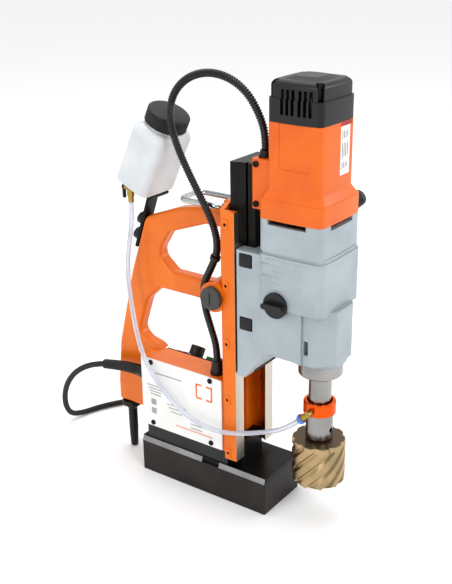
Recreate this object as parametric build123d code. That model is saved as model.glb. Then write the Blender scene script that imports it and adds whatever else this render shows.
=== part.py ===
from build123d import *
import os
from math import acos, asin, atan2, cos, degrees, hypot, pi, radians, sin, sqrt, tan

# Magnetic drill press. Millimetres, +Z up, the drilling side faces -Y, the handle +Y.
# The origin is the middle of the magnet's clamping face.
os.makedirs("parts", exist_ok=True)

# ---------------------------------------------------------------- driving sizes
# Magnet foot
magnet_length = 200.0
magnet_width = 80.0
magnet_height = 44.0
plate_thickness = 7.0
plate_inset = 2.5
groove_depth = 32.0
groove_wall = 10.0
pole_width = 28.0
coil_height = 23.0
potting_depth = 6.0
coil_gap = 1.0
strip_gap_front = -28.0
strip_gap_rear = -1.0

# Column and its ways
riser_rear = 93.0
rail_front = -58.0
rail_depth = 18.0
rail_outer = 41.0
rail_thickness = 7.0
rail_bottom = 64.0
rail_top = 393.0
gib_thickness = 10.0
gib_depth = 9.0
dovetail_drop = 4.0
slide_clearance = 0.1
column_foot_top = 82.0
gib_screw_count = 5
gib_screw_pitch = 76.0
gib_screw_first = 73.0
gib_screw_y = -45.0

# Control box and handle
box_half_width = 36.0
box_rear = 98.0
box_bottom = 70.0
box_top = 170.0
box_wall = 4.0
slope_angle = 35.0
web_thickness = 6.0
web_half_width = 35.0
spine_half_width = 13.0
spine_rear = -19.0
cover_thickness = 2.0
handle_half_width = 10.0
handle_bottom = 74.0
handle_edge_radius = 5.0

# Carriage
slide_bottom = 190.0
slide_top = 449.0
slide_front = -76.0
slide_rear = -44.0
spindle_y = -153.5
motor_y = -134.0
flange_half_width = 41.0
flange_front = -90.0
flange_top = 350.0
case_half_width = 43.0
case_half_depth = 41.0
case_bottom = 225.0
case_top = 357.0
case_step = 290.0
cover_top = 395.0
flare_top = 418.0
motor_half_width = 36.0
motor_half_depth = 34.0
motor_top = 503.0
cap_top = 551.0
motor_wall = 4.0

# Spindle line
shaft_radius = 14.0
collar_radius = 27.0
collar_bottom = 201.0
ring_radius = 20.0
ring_bottom = 149.0
ring_top = 165.0
holder_radius = 16.8
holder_bottom = 113.0
shank_radius = 9.5
shank_length = 28.0
cutter_radius = 33.0
cutter_height = 57.0
cutter_wall = 5.0
cutter_roof = 9.0
tooth_count = 12
rotor_clearance = 0.4

# Gears
gear_module = 1.0
motor_teeth = 12
lay_large_teeth = 30
lay_small_teeth = 12
spindle_teeth = 34
gear_low = 306.0
gear_high = 336.0
gear_width = 12.0

# Feed
feed_module = 1.5
feed_teeth = 16
feed_z = 283.0
feed_width = 10.0
feed_shaft_radius = 7.0
bush_radius = 9.0
boss_radius = 19.0
running_clearance = 0.05
lever_reach = 172.0
lever_lift_angle = 42.5
lever_lean_angle = 9.5
lever_radius = 6.0
grip_radius = 10.0
grip_length = 84.0

# Coolant and electrics
bottle_width = 66.0
bottle_depth = 53.0
bottle_height = 85.0
bottle_tilt = 25.0
bottle_wall = 2.0
hose_diameter = 6.0
conduit_diameter = 9.5
cord_diameter = 8.0
coil_mean_radius = 45.0
coil_turns_across = 3
coil_layers = 3
screw_radius = 2.0
strap_wire = 3.5

# ---------------------------------------------------------------- derived places
plate_top = magnet_height + plate_thickness
plate_half_width = magnet_width / 2 - plate_inset
rail_rear = rail_front + rail_depth
gib_outer = rail_outer - rail_thickness
gib_inner = gib_outer - gib_thickness
feed_pitch_radius = feed_module * feed_teeth / 2
rack_pitch_y = slide_rear + 5.0
feed_y = rack_pitch_y + feed_pitch_radius
cutter_bottom = holder_bottom - cutter_height
slope_drop = box_half_width * tan(radians(slope_angle))


# ---------------------------------------------------------------- shape helpers
def block(x0, x1, y0, y1, z0, z1):
    """A box between two corners."""
    size = Box(x1 - x0, y1 - y0, z1 - z0)
    return Pos((x0 + x1) / 2, (y0 + y1) / 2, (z0 + z1) / 2) * size


def rod_z(x, y, z0, z1, radius):
    """An upright cylinder."""
    return Pos(x, y, (z0 + z1) / 2) * Cylinder(radius, z1 - z0)


def rod_x(x0, x1, y, z, radius):
    """A cylinder along X."""
    return Pos((x0 + x1) / 2, y, z) * Rot(0, 90, 0) * Cylinder(radius, x1 - x0)


def rod_y(y0, y1, x, z, radius):
    """A cylinder along Y."""
    return Pos(x, (y0 + y1) / 2, z) * Rot(90, 0, 0) * Cylinder(radius, y1 - y0)


def rounded_block(x0, x1, y0, y1, z0, z1, radius, axis=Axis.Z):
    """A box whose edges along one axis are rounded."""
    body = block(x0, x1, y0, y1, z0, z1)
    return fillet(body.edges().filter_by(axis), radius)


def outline_yz(points, radii):
    """A closed outline in the YZ plane with one corner radius for each point."""
    wire = Polyline(*[(0, y, z) for y, z in points], close=True)
    face = make_face(wire)
    for (y, z), radius in zip(points, radii):
        if radius > 0:
            corner = face.vertices().sort_by_distance((0, y, z))[0]
            face = fillet(corner, radius)
    return face


def bulged_face(half_x, half_y, bulge, corner, centre_y, z):
    """A rectangle with bowed sides and rounded corners, centred on the motor's axis."""
    corners = [(-half_x, -half_y), (half_x, -half_y), (half_x, half_y), (-half_x, half_y)]
    middles = [(0, -half_y - bulge), (half_x + bulge, 0), (0, half_y + bulge), (-half_x - bulge, 0)]
    arcs = []
    for index in range(4):
        start = corners[index]
        end = corners[(index + 1) % 4]
        arcs.append(ThreePointArc(start, middles[index], end))
    face = make_face(arcs)
    face = fillet(face.vertices(), corner)
    return Pos(0, centre_y, z) * face


def bulged_block(half_x, half_y, bulge, corner, centre_y, z0, z1):
    """A straight length of that rounded section."""
    return extrude(bulged_face(half_x, half_y, bulge, corner, centre_y, z0), z1 - z0)


def involute(angle):
    """The involute function of a pressure angle in radians."""
    return tan(angle) - angle


def gear_solid(teeth, module, z0, z1, x, y, turn):
    """A spur gear with thinned involute teeth; turn places a tooth's middle, in degrees."""
    pitch_radius = module * teeth / 2
    pressure = radians(20)
    base_radius = pitch_radius * cos(pressure)
    root_radius = pitch_radius - 1.2 * module
    tip_radius = pitch_radius + 0.8 * module
    half_at_pitch = 0.40 * pi / teeth
    flank_radii = [max(base_radius, root_radius + 0.05), pitch_radius, tip_radius]
    flank = [(root_radius, half_at_pitch + involute(pressure))]
    for radius in flank_radii:
        angle = acos(min(1.0, base_radius / radius))
        flank.append((radius, half_at_pitch + involute(pressure) - involute(angle)))
    points = []
    for tooth in range(teeth):
        middle = radians(turn) + 2 * pi * tooth / teeth
        side = [(radius, middle - half) for radius, half in flank]
        side += [(radius, middle + half) for radius, half in reversed(flank)]
        points += [(radius * cos(angle), radius * sin(angle)) for radius, angle in side]
    face = make_face(Polyline(*points, close=True))
    return Pos(x, y, z0) * extrude(face, z1 - z0)


def tangent_tube(points, diameter, limit=None):
    """A round tube along straight runs joined by arcs as large as the runs allow."""
    vectors = [Vector(*p) for p in points]
    runs = [(b - a).length for a, b in zip(vectors, vectors[1:])]
    radii = []
    for index in range(1, len(vectors) - 1):
        before = vectors[index] - vectors[index - 1]
        after = vectors[index + 1] - vectors[index]
        turn = before.get_angle(after)
        shorter = min(runs[index - 1], runs[index])
        radii.append(0.45 * shorter / tan(radians(turn / 2)))
    path = FilletPolyline(*vectors, radius=radii)
    start = Plane(origin=path @ 0, z_dir=path % 0)
    tube = sweep(start * Circle(diameter / 2), path=path)
    share = tube.volume / (pi * diameter**2 / 4 * path.length)
    print("tube", round(path.length, 1), "mm, volume share", round(share, 4))
    print("  arc radii", [round(r, 1) for r in radii])
    return tube


def write(shape, name):
    """Write one node's solids to its STEP file."""
    solids = shape.solids()
    result = Compound(solids) if len(solids) > 1 else solids[0]
    export_step(result, f"parts/{name}.step")


# ---------------------------------------------------------------- magnet foot
def magnet_groove(offset):
    """The racetrack groove that holds the winding, made smaller all round by an offset."""
    half_x = magnet_width / 2 - groove_wall - offset
    half_y = magnet_length / 2 - groove_wall - offset
    pole_half = pole_width / 2 + offset
    pole_y = magnet_length / 2 - groove_wall * 2 - 16 + offset
    outer = rounded_block(-half_x, half_x, -half_y, half_y, 0, groove_depth, 6)
    pole = rounded_block(-pole_half, pole_half, -pole_y, pole_y, -1, groove_depth + 1, 4)
    return outer - pole


def make_magnet():
    """The steel shell with its centre pole, the winding and the potting under it."""
    half_x = magnet_width / 2
    half_y = magnet_length / 2
    shell = block(-half_x, half_x, -half_y, half_y, 0, magnet_height)
    shell = chamfer(shell.edges().filter_by(Axis.Z), 1.0)
    write(shell - magnet_groove(0), "magnet_shell")
    winding = magnet_groove(coil_gap) & block(-99, 99, -199, 199, potting_depth, potting_depth + coil_height)
    write(winding, "magnet_coil")
    write(magnet_groove(0) & block(-99, 99, -199, 199, 0, potting_depth), "magnet_potting")


def make_base_plate():
    """The black adapter plate with the block that closes the column's foot."""
    half_y = magnet_length / 2
    plate = block(-plate_half_width, plate_half_width, -half_y, half_y, magnet_height, plate_top)
    plate = chamfer(plate.edges().filter_by(Axis.Z), 1.0)
    foot = block(-gib_inner + 0.5, gib_inner - 0.5, rail_front + 5, rail_rear, plate_top, column_foot_top)
    write(plate + foot, "base_plate")


def make_edge_strips():
    """Bevelled strips along the top edges of the magnet, with a gap in each side."""
    half_x = magnet_width / 2
    half_y = magnet_length / 2
    strips = []
    for start, end in ((-half_y + 1, strip_gap_front), (strip_gap_rear, half_y - 1)):
        section = Polyline(
            (-half_x, start, magnet_height),
            (-plate_half_width, start, magnet_height),
            (-plate_half_width, start, plate_top),
            close=True,
        )
        strip = extrude(make_face(section), end - start, dir=(0, 1, 0))
        strips += [strip, mirror(strip, Plane.YZ)]
    write(Compound(strips), "edge_strips")


def make_riser():
    """The spacer between the base plate and the control box."""
    riser = block(-box_half_width, box_half_width, rail_rear, riser_rear, plate_top, box_bottom)
    write(chamfer(riser.edges().group_by(Axis.Y)[-1].filter_by(Axis.Z), 1.5), "riser_block")


# ---------------------------------------------------------------- column
def screw_heights():
    """The heights of the gib screws."""
    return [gib_screw_first + gib_screw_pitch * index for index in range(gib_screw_count)]


def make_rails():
    """The two rails with a raised pad round each gib screw."""
    left = block(-rail_outer, -gib_outer, rail_front, rail_rear, rail_bottom, rail_top)
    for height in screw_heights():
        pad = rounded_block(-rail_outer - 1, -rail_outer, gib_screw_y - 4, gib_screw_y + 4, height - 7, height + 7, 3.5, Axis.X)
        left += pad
        left -= rod_x(-rail_outer - 2, -gib_outer + 1, gib_screw_y, height, screw_radius + 0.1)
    write(Compound([left, mirror(left, Plane.YZ)]), "rails")


def gib_section(z):
    """The dovetail section of the left gib."""
    back = rail_front + gib_depth
    return make_face(
        Polyline(
            (-gib_outer, rail_front, z),
            (-gib_inner, rail_front, z),
            (-gib_inner - dovetail_drop, back, z),
            (-gib_outer, back, z),
            close=True,
        )
    )


def make_gibs():
    """Two brass gibs that hold the slide's dovetail."""
    left = extrude(gib_section(rail_bottom), rail_top - rail_bottom)
    write(Compound([left, mirror(left, Plane.YZ)]), "gibs")


def slide_section(z):
    """The slide's section: a bar with dovetail flanks at the gibs."""
    gap = slide_clearance
    narrow = gib_inner - gap
    back = rail_front + gib_depth
    wide = gib_inner + dovetail_drop - gap * 2
    left = [(-narrow, slide_front), (-narrow, rail_front), (-wide, back + gap), (-wide, slide_rear)]
    points = left + [(-x, y) for x, y in reversed(left)]
    return make_face(Polyline(*[(x, y, z) for x, y in points], close=True))


# ---------------------------------------------------------------- control box and handle
def box_section(inset):
    """The control box's end section, with its sloping control side."""
    drop = slope_drop
    low = box_bottom + inset
    high = box_top - inset
    side = box_half_width - inset
    points = [(-side, low), (-side, high), (0, high), (side, high - drop * side / box_half_width), (side, low)]
    return [(x, z) for x, z in points]


def box_solid(inset, y0, y1):
    """A length of the control box's section."""
    wire = Polyline(*[(x, y0, z) for x, z in box_section(inset)], close=True)
    return extrude(make_face(wire), y1 - y0, dir=(0, 1, 0))


def slope_place(y, along):
    """A place on the sloping control side: along is measured down from the ridge."""
    angle = radians(slope_angle)
    return Pos(along * cos(angle), y, box_top - along * sin(angle)) * Rot(0, slope_angle, 0)


switch_along = 22.0
knob_y = 51.0
start_y = 26.0
stop_y = 0.0
rocker_y = 75.0
panel_y = 34.0
panel_length = 102.0
control_hole_radius = 7.0
rocker_size = (20.0, 13.0)


def make_stand_casting():
    """The control box, the column's web and the feed boss, in one casting."""
    web = block(-web_half_width, web_half_width, rail_rear, rail_rear + web_thickness, rail_bottom + 8, rail_top)
    peak_points = [(-web_half_width, rail_top), (-20, rail_top + 7), (20, rail_top + 7), (web_half_width, rail_top)]
    peak_wire = Polyline(*[(x, rail_rear, z) for x, z in peak_points], close=True)
    web += extrude(make_face(peak_wire), web_thickness, dir=(0, 1, 0))
    spine = block(-spine_half_width, spine_half_width, rail_rear, spine_rear, box_top - 5, rail_top - 10)
    lug = rounded_block(-6, 6, ring_hinge_y - 6, ring_hinge_y + 6, rail_top - 12, ring_hinge_z + 6, 5, Axis.X)
    spine += lug
    boss = rod_x(-rail_outer - 2, rail_outer + 2, feed_y, feed_z, boss_radius)
    boss &= block(-99, 99, rail_rear, 99, 0, 999)
    shell = box_solid(0, rail_rear, box_rear)
    hollow = box_solid(box_wall, rail_rear + web_thickness + 1, box_rear - box_wall)
    window = block(-box_half_width - 1, -box_half_width + box_wall + 1, -20, box_rear - 12, box_bottom + 14, box_top - 14)
    casting = shell - hollow - window + web + spine + boss
    slope_window = slope_place(panel_y, switch_along) * Box(30, panel_length - 6, 12)
    casting -= slope_window
    casting -= block(-feed_width / 2 - 2, feed_width / 2 + 2, rail_rear - 1, rack_pitch_y + 3, box_bottom - 9, 999)
    casting -= rod_x(-feed_width / 2 - 2, feed_width / 2 + 2, feed_y, feed_z, feed_pitch_radius + 3.5)
    casting -= rod_x(-99, 99, feed_y, feed_z, bush_radius)
    casting -= rod_x(-9, 9, ring_hinge_y, ring_hinge_z, strap_wire + running_clearance)
    casting -= rod_y(box_rear - 9, box_rear + 1, gland_x, gland_z, gland_thread_radius)
    casting -= rod_z(boot_x, boot_y, box_top - 9, box_top + 1, boot_thread_radius)
    for y, z in panel_screw_places():
        casting -= rod_x(-box_half_width - 1, -box_half_width + 9, y, z, screw_radius + 0.1)
    write(casting, "stand_casting")


gland_x = -28.0
gland_z = 142.0
gland_thread_radius = 6.0
boot_x = -22.0
boot_y = -16.0
boot_thread_radius = 5.0


def panel_screw_places():
    """The side cover's four screws, as (y, z)."""
    return [(y, z) for y in (-16.0, 80.0) for z in (76.5, 165.5)]


clamp_radius = 3.0
clamp_screws = {"clamp_screw_upper": -9.0, "clamp_screw_lower": -32.0}
grip_face_turn = degrees(atan2(27.0, 78.0))
stem_frame = Pos(0, 104.0, 352.0) * Rot(grip_face_turn, 0, 0)


def handle_outline():
    """The handle's outer outline and its corner radii, in Y and Z."""
    points = [
        (spine_rear, 360.0),
        (spine_rear, 382.0),
        (12.0, 380.0),
        (50.0, 373.0),
        (104.0, 352.0),
        (131.0, 274.0),
        (159.0, 166.0),
        (166.0, 104.0),
        (166.0, handle_bottom),
        (box_rear, handle_bottom),
        (box_rear, box_top),
        (spine_rear, box_top),
    ]
    radii = [0, 0, 30, 60, 16, 150, 100, 60, 5, 0, 0, 0]
    return points, radii


def handle_rim(shape, side):
    """The edges of one side of the handle that a hand can reach."""
    rim = []
    for edge in shape.edges():
        reach = edge.bounding_box()
        on_side = abs(reach.min.X - side) < 0.01 and abs(reach.max.X - side) < 0.01
        against_spine = reach.max.Y < spine_rear + 0.5
        on_box = reach.max.Z < box_top + 0.5 or reach.max.Y < box_rear + 0.5 and reach.max.Z < box_top
        if on_side and not against_spine and not on_box:
            rim.append(edge)
    return rim


def make_handle():
    """The D-shaped handle frame behind the column."""
    points, radii = handle_outline()
    body = extrude(outline_yz(points, radii), handle_half_width, both=True)
    upper = [(spine_rear - 30, 290), (spine_rear - 30, 359), (8, 359), (66, 338), (86, 306), (62, 286), (10, 286)]
    lower = [
        (spine_rear - 30, box_top - 30),
        (spine_rear - 30, 259),
        (84, 259),
        (107, 238),
        (123, 190),
        (112, 180),
        (88, box_top + 4),
        (70, box_top - 30),
    ]
    for points, radii in ((upper, [0, 0, 20, 12, 14, 12, 30]), (lower, [0, 0, 10, 25, 12, 10, 20, 0])):
        body -= extrude(outline_yz(points, radii), handle_half_width + 1, both=True)
    body -= block(-20, 20, spine_rear - 40, spine_rear, 0, 999)
    body = body.solids().sort_by(SortBy.VOLUME)[-1]
    for side in (-handle_half_width, handle_half_width):
        body = fillet(handle_rim(body, side), handle_edge_radius)
    body -= rod_x(-99, 99, feed_y, feed_z, boss_radius)
    for down in clamp_screws.values():
        body -= stem_frame * Pos(0, 0, down) * rod_y(-11, 1, 0, 0, clamp_radius + running_clearance)
    largest = body.solids().sort_by(SortBy.VOLUME)[-1]
    write(largest, "handle_frame")


def make_side_panel():
    """The sheet cover on the box's open side."""
    front = rail_rear + web_thickness + 0.5
    panel = block(-box_half_width - cover_thickness, -box_half_width, front, box_rear - 1, box_bottom + 1, box_top)
    panel = fillet(panel.edges().filter_by(Axis.X), 1.5)
    for y, z in panel_screw_places():
        panel -= rod_x(-box_half_width - 9, -box_half_width + 1, y, z, screw_radius + 0.1)
    write(panel, "side_panel")


def pan_screw(radius, head_radius, head_height, length):
    """A screw pointing down from the origin, its head above, with a cross recess."""
    head = Pos(0, 0, head_height / 2) * Cylinder(head_radius, head_height)
    head = fillet(head.edges().group_by(Axis.Z)[-1], head_height * 0.4)
    head -= Pos(0, 0, head_height) * (Box(head_radius * 1.1, 0.8, 1.2) + Box(0.8, head_radius * 1.1, 1.2))
    return head + Pos(0, 0, -length / 2) * Cylinder(radius, length)


def make_stand_screws():
    """The side cover's screws and the ten gib screws."""
    screws = []
    cover_screw = pan_screw(screw_radius, 3.4, 1.8, 6)
    for y, z in panel_screw_places():
        screws.append(Pos(-box_half_width - cover_thickness, y, z) * Rot(0, -90, 0) * cover_screw)
    for side in (-1, 1):
        for height in screw_heights():
            place = Pos(side * (rail_outer - 2.0), gib_screw_y, height) * Rot(0, side * 90, 0)
            grub = Pos(0, 0, -1.5) * (Cylinder(screw_radius, 5) - Pos(0, 0, 2.5) * extrude(RegularPolygon(1.1, 6), 1.5, both=True))
            screws.append(place * grub)
    write(Compound([s.solids()[0] for s in screws]), "stand_screws")


def make_control_side():
    """The sloping control plate with its knob, switch and buttons, and the board behind."""
    plate = slope_place(panel_y, switch_along) * Pos(0, 0, 0.75) * Box(38, panel_length, 1.5)
    for y in (knob_y, start_y, stop_y):
        plate -= slope_place(y, switch_along) * Cylinder(control_hole_radius, 9)
    plate -= slope_place(rocker_y, switch_along) * Box(rocker_size[0], rocker_size[1], 9)
    write(plate, "control_panel")

    knob = Pos(0, 0, 9.5) * Cylinder(10, 13)
    knob = fillet(knob.edges().group_by(Axis.Z)[-1], 1.5)
    for index in range(12):
        knob -= Rot(0, 0, 30 * index) * Pos(10.6, 0, 9.5) * Cylinder(1.2, 14)
    knob += Pos(0, 0, -2) * Cylinder(control_hole_radius - rotor_clearance, 12)
    write(slope_place(knob_y, switch_along) * knob, "speed_knob")

    for name, y in (("start_button", start_y), ("stop_button", stop_y)):
        button = Pos(0, 0, 0) * Cylinder(control_hole_radius - rotor_clearance, 13)
        button = fillet(button.edges().group_by(Axis.Z)[-1], 1.2)
        write(slope_place(y, switch_along) * button, name)

    long = rocker_size[0] - 1.2
    wide = rocker_size[1] - 1.2
    rocker = extrude(
        make_face(
            Polyline(
                (-long / 2, 0, -3),
                (-long / 2, 0, 1.6),
                (0, 0, 3.6),
                (long / 2, 0, 4.6),
                (long / 2, 0, -3),
                close=True,
            )
        ),
        wide / 2,
        both=True,
        dir=(0, 1, 0),
    )
    write(slope_place(rocker_y, switch_along) * rocker, "magnet_switch")

    board = block(-26, -24.4, -5, 82, 84, 150)
    parts = [board]
    for y, z, wide_y, wide_z, tall in ((8, 100, 20, 24, 15), (38, 104, 24, 16, 12), (64, 128, 16, 30, 14)):
        parts.append(block(-24.4, -24.4 + tall, y, y + wide_y * 0.8, z, z + wide_z))
    write(Compound([p.solids()[0] for p in parts]), "control_board")


def make_support_foot():
    """The rubber support under the handle, standing on the same surface as the magnet."""
    profile = [(0, 0), (3.5, 0), (5.2, 2.2), (6.2, 30), (6.2, 60), (9, 64), (14, 68), (14.5, 71), (13, handle_bottom), (0, handle_bottom)]
    face = make_face(Polyline(*[(r, 0, z) for r, z in profile], close=True))
    write(Pos(0, foot_y, 0) * revolve(face, Axis.Z), "support_foot")


foot_y = 151.0


# ---------------------------------------------------------------- feed
def make_feed():
    """The feed shaft with its pinion, its bushes, both end caps, the lever and its grip."""
    bore = feed_shaft_radius + running_clearance
    bushes = []
    for side in (-1, 1):
        outer = side * (rail_outer + 2)
        inner = side * (feed_width / 2 + 8)
        low, high = min(outer, inner), max(outer, inner)
        bushes.append(rod_x(low, high, feed_y, feed_z, bush_radius) - rod_x(low - 1, high + 1, feed_y, feed_z, bore))
    write(Compound([b.solids()[0] for b in bushes]), "shaft_bushes")

    shaft = rod_x(-rail_outer - 5, rail_outer + 27, feed_y, feed_z, feed_shaft_radius)
    gear = gear_solid(feed_teeth, feed_module, -feed_width / 2, feed_width / 2, 0, 0, 180)
    shaft += Pos(0, feed_y, feed_z) * Rot(0, 90, 0) * Rot(0, 0, 90) * gear
    write(shaft, "feed_shaft")

    cap = rod_x(-rail_outer - 9, -rail_outer - 2.5, feed_y, feed_z, 14.5)
    cap = fillet(cap.edges().group_by(Axis.X)[0], 1.5)
    cap -= rod_x(-rail_outer - 5, 0, feed_y, feed_z, feed_shaft_radius)
    cap -= block(-rail_outer - 12, -rail_outer - 7.5, feed_y - 1, feed_y + 1, feed_z - 8, feed_z + 8)
    write(cap, "hub_cap")

    hub = rod_x(rail_outer + 3, rail_outer + 29, feed_y, feed_z, 18)
    hub = fillet(hub.edges().group_by(Axis.X)[-1], 3)
    hub -= rod_x(0, rail_outer + 27, feed_y, feed_z, feed_shaft_radius)
    lever_place = Pos(rail_outer + 17, feed_y, feed_z) * Rot(-lever_lift_angle, 0, 0) * Rot(0, 0, lever_lean_angle)
    socket = lever_place * rod_y(-lever_reach, 0, 0, 0, lever_radius)
    write(hub - socket, "feed_hub")
    rod = socket - rod_x(0, rail_outer + 27, feed_y, feed_z, feed_shaft_radius + 0.01)
    rod = rod.solids().sort_by(SortBy.VOLUME)[-1]
    write(rod, "feed_lever")
    grip = rod_y(-lever_reach - 4, -lever_reach + grip_length, 0, 0, grip_radius)
    grip = fillet(grip.edges().group_by(Axis.Y)[0], 7)
    grip = chamfer(grip.edges().group_by(Axis.Y)[-1], 2)
    write(lever_place * grip - socket, "lever_grip")


# ---------------------------------------------------------------- carriage
def make_slide():
    """The slide bar and the rack on its back."""
    slide = extrude(slide_section(slide_bottom), slide_top - slide_bottom)
    for side in (-1, 1):
        slide -= block(side * 23 - 0.5 * side - 1.5, side * 23 - 0.5 * side + 3, -66, -63, slide_bottom - 1, slide_top + 1) & block(
            -gib_inner - 1, gib_inner + 1, -99, 0, 0, 999
        )
    write(slide, "slide_bar")
    pitch = pi * feed_module
    count = int((slide_top - slide_bottom) / pitch) - 2
    below = int((feed_z - slide_bottom) / pitch) - 1
    flank = tan(radians(20))
    addendum = 0.8 * feed_module
    dedendum = 1.2 * feed_module
    half = 0.40 * pitch / 2
    points = []
    for index in range(count):
        middle = feed_z + (index - below + 0.5) * pitch
        points.append((rack_pitch_y - dedendum, middle - half - dedendum * flank))
        points.append((rack_pitch_y + addendum, middle - half + addendum * flank))
        points.append((rack_pitch_y + addendum, middle + half - addendum * flank))
        points.append((rack_pitch_y - dedendum, middle + half + dedendum * flank))
    low = points[0][1] - 2
    high = points[-1][1] + 2
    points = [(slide_rear, low), (rack_pitch_y - dedendum, low)] + points
    points += [(rack_pitch_y - dedendum, high), (slide_rear, high)]
    face = make_face(Polyline(*[(0, y, z) for y, z in points], close=True))
    write(extrude(face, feed_width / 2, both=True), "feed_rack")


def nose_face(inset, z):
    """The lower gearcase's plan: straight sides with its front corners cut off."""
    side = 38.0 - inset
    front = spindle_y - 31.0 + inset
    cut = 20.0
    points = [(-side, flange_front + inset), (-side, front + cut), (-side + cut, front), (side - cut, front)]
    points += [(side, front + cut), (side, flange_front + inset)]
    return make_face(Polyline(*[(x, y, z) for x, y in points], close=True))


def make_gearcase():
    """The grey gearcase: flange on the slide, gear chamber and the spindle's nose."""
    body = bulged_block(case_half_width + 0.5, case_half_depth + 1.5, 1.5, 9, motor_y - 1, case_step, case_top - 4)
    body += bulged_block(case_half_width - 1.5, case_half_depth, 1.5, 8, motor_y - 1, case_top - 5, case_top)
    nose = extrude(nose_face(0, case_bottom), case_step + 2 - case_bottom)
    nose = fillet(nose.edges().filter_by(Axis.Z), 3)
    arch = [(slide_front + 16, 188), (slide_front + 4, 188), (-97, 222), (-112, 230), (-150, case_bottom)]
    arch += [(-150, flange_top), (slide_front + 16, flange_top)]
    wire = Polyline(*[(0, y, z) for y, z in arch], close=True)
    flange = extrude(make_face(wire), flange_half_width, both=True)
    flange = fillet(flange.edges().filter_by(Axis.Z).group_by(Axis.Y)[-1], 2)
    ring = rod_z(0, spindle_y, case_bottom - 8, case_bottom + 5, 31)
    ring = chamfer(ring.edges().group_by(Axis.Z)[0], 4)
    case = body + nose + flange + ring
    gap = slide_clearance
    case -= block(-gib_inner - 0.01, gib_inner + 0.01, slide_front, 0, 0, 999)
    chamber = extrude(nose_face(6, 262), gear_high - 262) & block(-99, 99, -999, -100, 0, 999)
    case -= chamber
    case -= extrude(bulged_face(37.5, 35, 1, 5, motor_y, gear_high - 3), case_top + 1 - gear_high + 3)
    case -= rod_z(0, spindle_y, 229, 260, bearing_radius)
    case -= rod_z(0, spindle_y, 200, 300, shaft_radius + 3)
    for height in (250.5, 330.0):
        pocket = rounded_block(-flange_half_width - 1, -flange_half_width + 3, -83, -64.5, height, height + 17, 2, Axis.X)
        case -= pocket
        case -= mirror(pocket, Plane.YZ)
    case -= rod_x(-case_half_width - 9, -36, selector_y, selector_z, selector_bore)
    case -= block(-39, -30, -158, -152, 238, 256)
    write(case, "gearcase")


bearing_radius = 21.0
selector_y = -118.5
selector_z = 295.0
selector_bore = 8.0


def make_gearcase_cover():
    """The upper grey cover that carries the motor's lower bearing."""
    cover = bulged_block(case_half_width, case_half_depth, 1.5, 8, motor_y, case_top, cover_top)
    cover -= extrude(bulged_face(37, 34, 1, 5, motor_y, case_top + 12), 99)
    cover -= rod_z(0, motor_y, case_top - 1, cover_top, 5 + 3)
    cover -= rod_z(0, motor_y, case_top + 4, cover_top, 11)
    cover -= block(-99, 99, -156, -106, cover_top - 6, cover_top + 1) - block(-36, 36, -999, 999, 0, 999)
    cover -= block(-24, 24, -999, -160, cover_top - 6, cover_top + 1)
    write(cover, "gearcase_cover")


def make_motor_housing():
    """The orange motor shell with its flared foot and the block that bolts to the slide."""
    flare = bulged_block(case_half_width, case_half_depth, 2, 8, motor_y, cover_top, flare_top)
    low = bulged_face(case_half_width - 1, case_half_depth - 1, 2, 8, motor_y, flare_top)
    high = bulged_face(motor_half_width, motor_half_depth, 2, 7, motor_y, flare_top + 10)
    shoulder = loft([low, high])
    barrel = bulged_block(motor_half_width, motor_half_depth, 2, 7, motor_y, flare_top + 10, motor_top)
    outside = flare + shoulder + barrel
    bracket = block(-31, 31, motor_y + 20, slide_front, cover_top + 5, 458)
    bracket = fillet(bracket.edges().filter_by(Axis.Z), 2)
    inner = motor_half_width - motor_wall
    hollow = bulged_block(inner, motor_half_depth - motor_wall, 2, 5, motor_y, cover_top - 1, motor_top + 1)
    housing = outside + bracket - hollow
    for x in (-1, 1):
        panel_face = rounded_block(x * (motor_half_width + 3) - 2.2, x * (motor_half_width + 3) + 2.2, -156, -116, 452, 510, 3, Axis.X)
        housing -= panel_face
    for side in (-1, 1):
        for height in bracket_screw_heights:
            housing -= rod_x(side * 31 - 9, side * 31 + 9, slide_front - 6, height, screw_radius + 0.1)
    write(housing, "motor_housing")


bracket_screw_heights = (406.0, 452.0)


def cap_corners():
    """The four cap screws' places."""
    return [(x, motor_y + y) for x in (-30.0, 30.0) for y in (-28.0, 28.0)]


def make_motor_cap():
    """The black top cap with its cooling slots and screw wells."""
    low = bulged_block(motor_half_width, motor_half_depth, 2, 8, motor_y, motor_top, motor_top + 26)
    high = bulged_block(motor_half_width - 1.5, motor_half_depth - 1.5, 2, 8, motor_y, motor_top + 26, cap_top - 3)
    high = fillet(high.edges().group_by(Axis.Z)[-1], 6.5)
    base = bulged_face(motor_half_width - 9, motor_half_depth - 9, 2, 4, motor_y, cap_top - 4)
    crown = bulged_face(motor_half_width - 22, motor_half_depth - 20, 2, 3, motor_y, cap_top)
    outside = low + high + loft([base, crown])
    inner = motor_half_width - motor_wall
    cap = outside - bulged_block(inner, motor_half_depth - motor_wall, 2, 5, motor_y, motor_top - 1, cap_top - 14)
    for x, y in cap_corners():
        cap += rod_z(x, y, motor_top + 12, cap_top - 12, 6.5) & outside
    for x, y in cap_corners():
        cap -= rod_z(x, y, cap_top - 25, cap_top + 9, 4.6)
        cap -= rod_z(x, y, 0, cap_top, screw_radius + 0.1)
    for side in (-1, 1):
        for index in range(6):
            y = -154.5 + index * 6.6 + (2.0 if index > 2 else 0)
            cap -= block(side * 36 - 9, side * 36 + 9, y - 1.9, y + 1.9, motor_top + 9, motor_top + 36)
    cap += rod_z(0, motor_y, cap_top - 24, cap_top - 14, 12) - rod_z(0, motor_y, cap_top - 26, cap_top - 17, 8)
    write(cap, "motor_cap")


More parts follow.
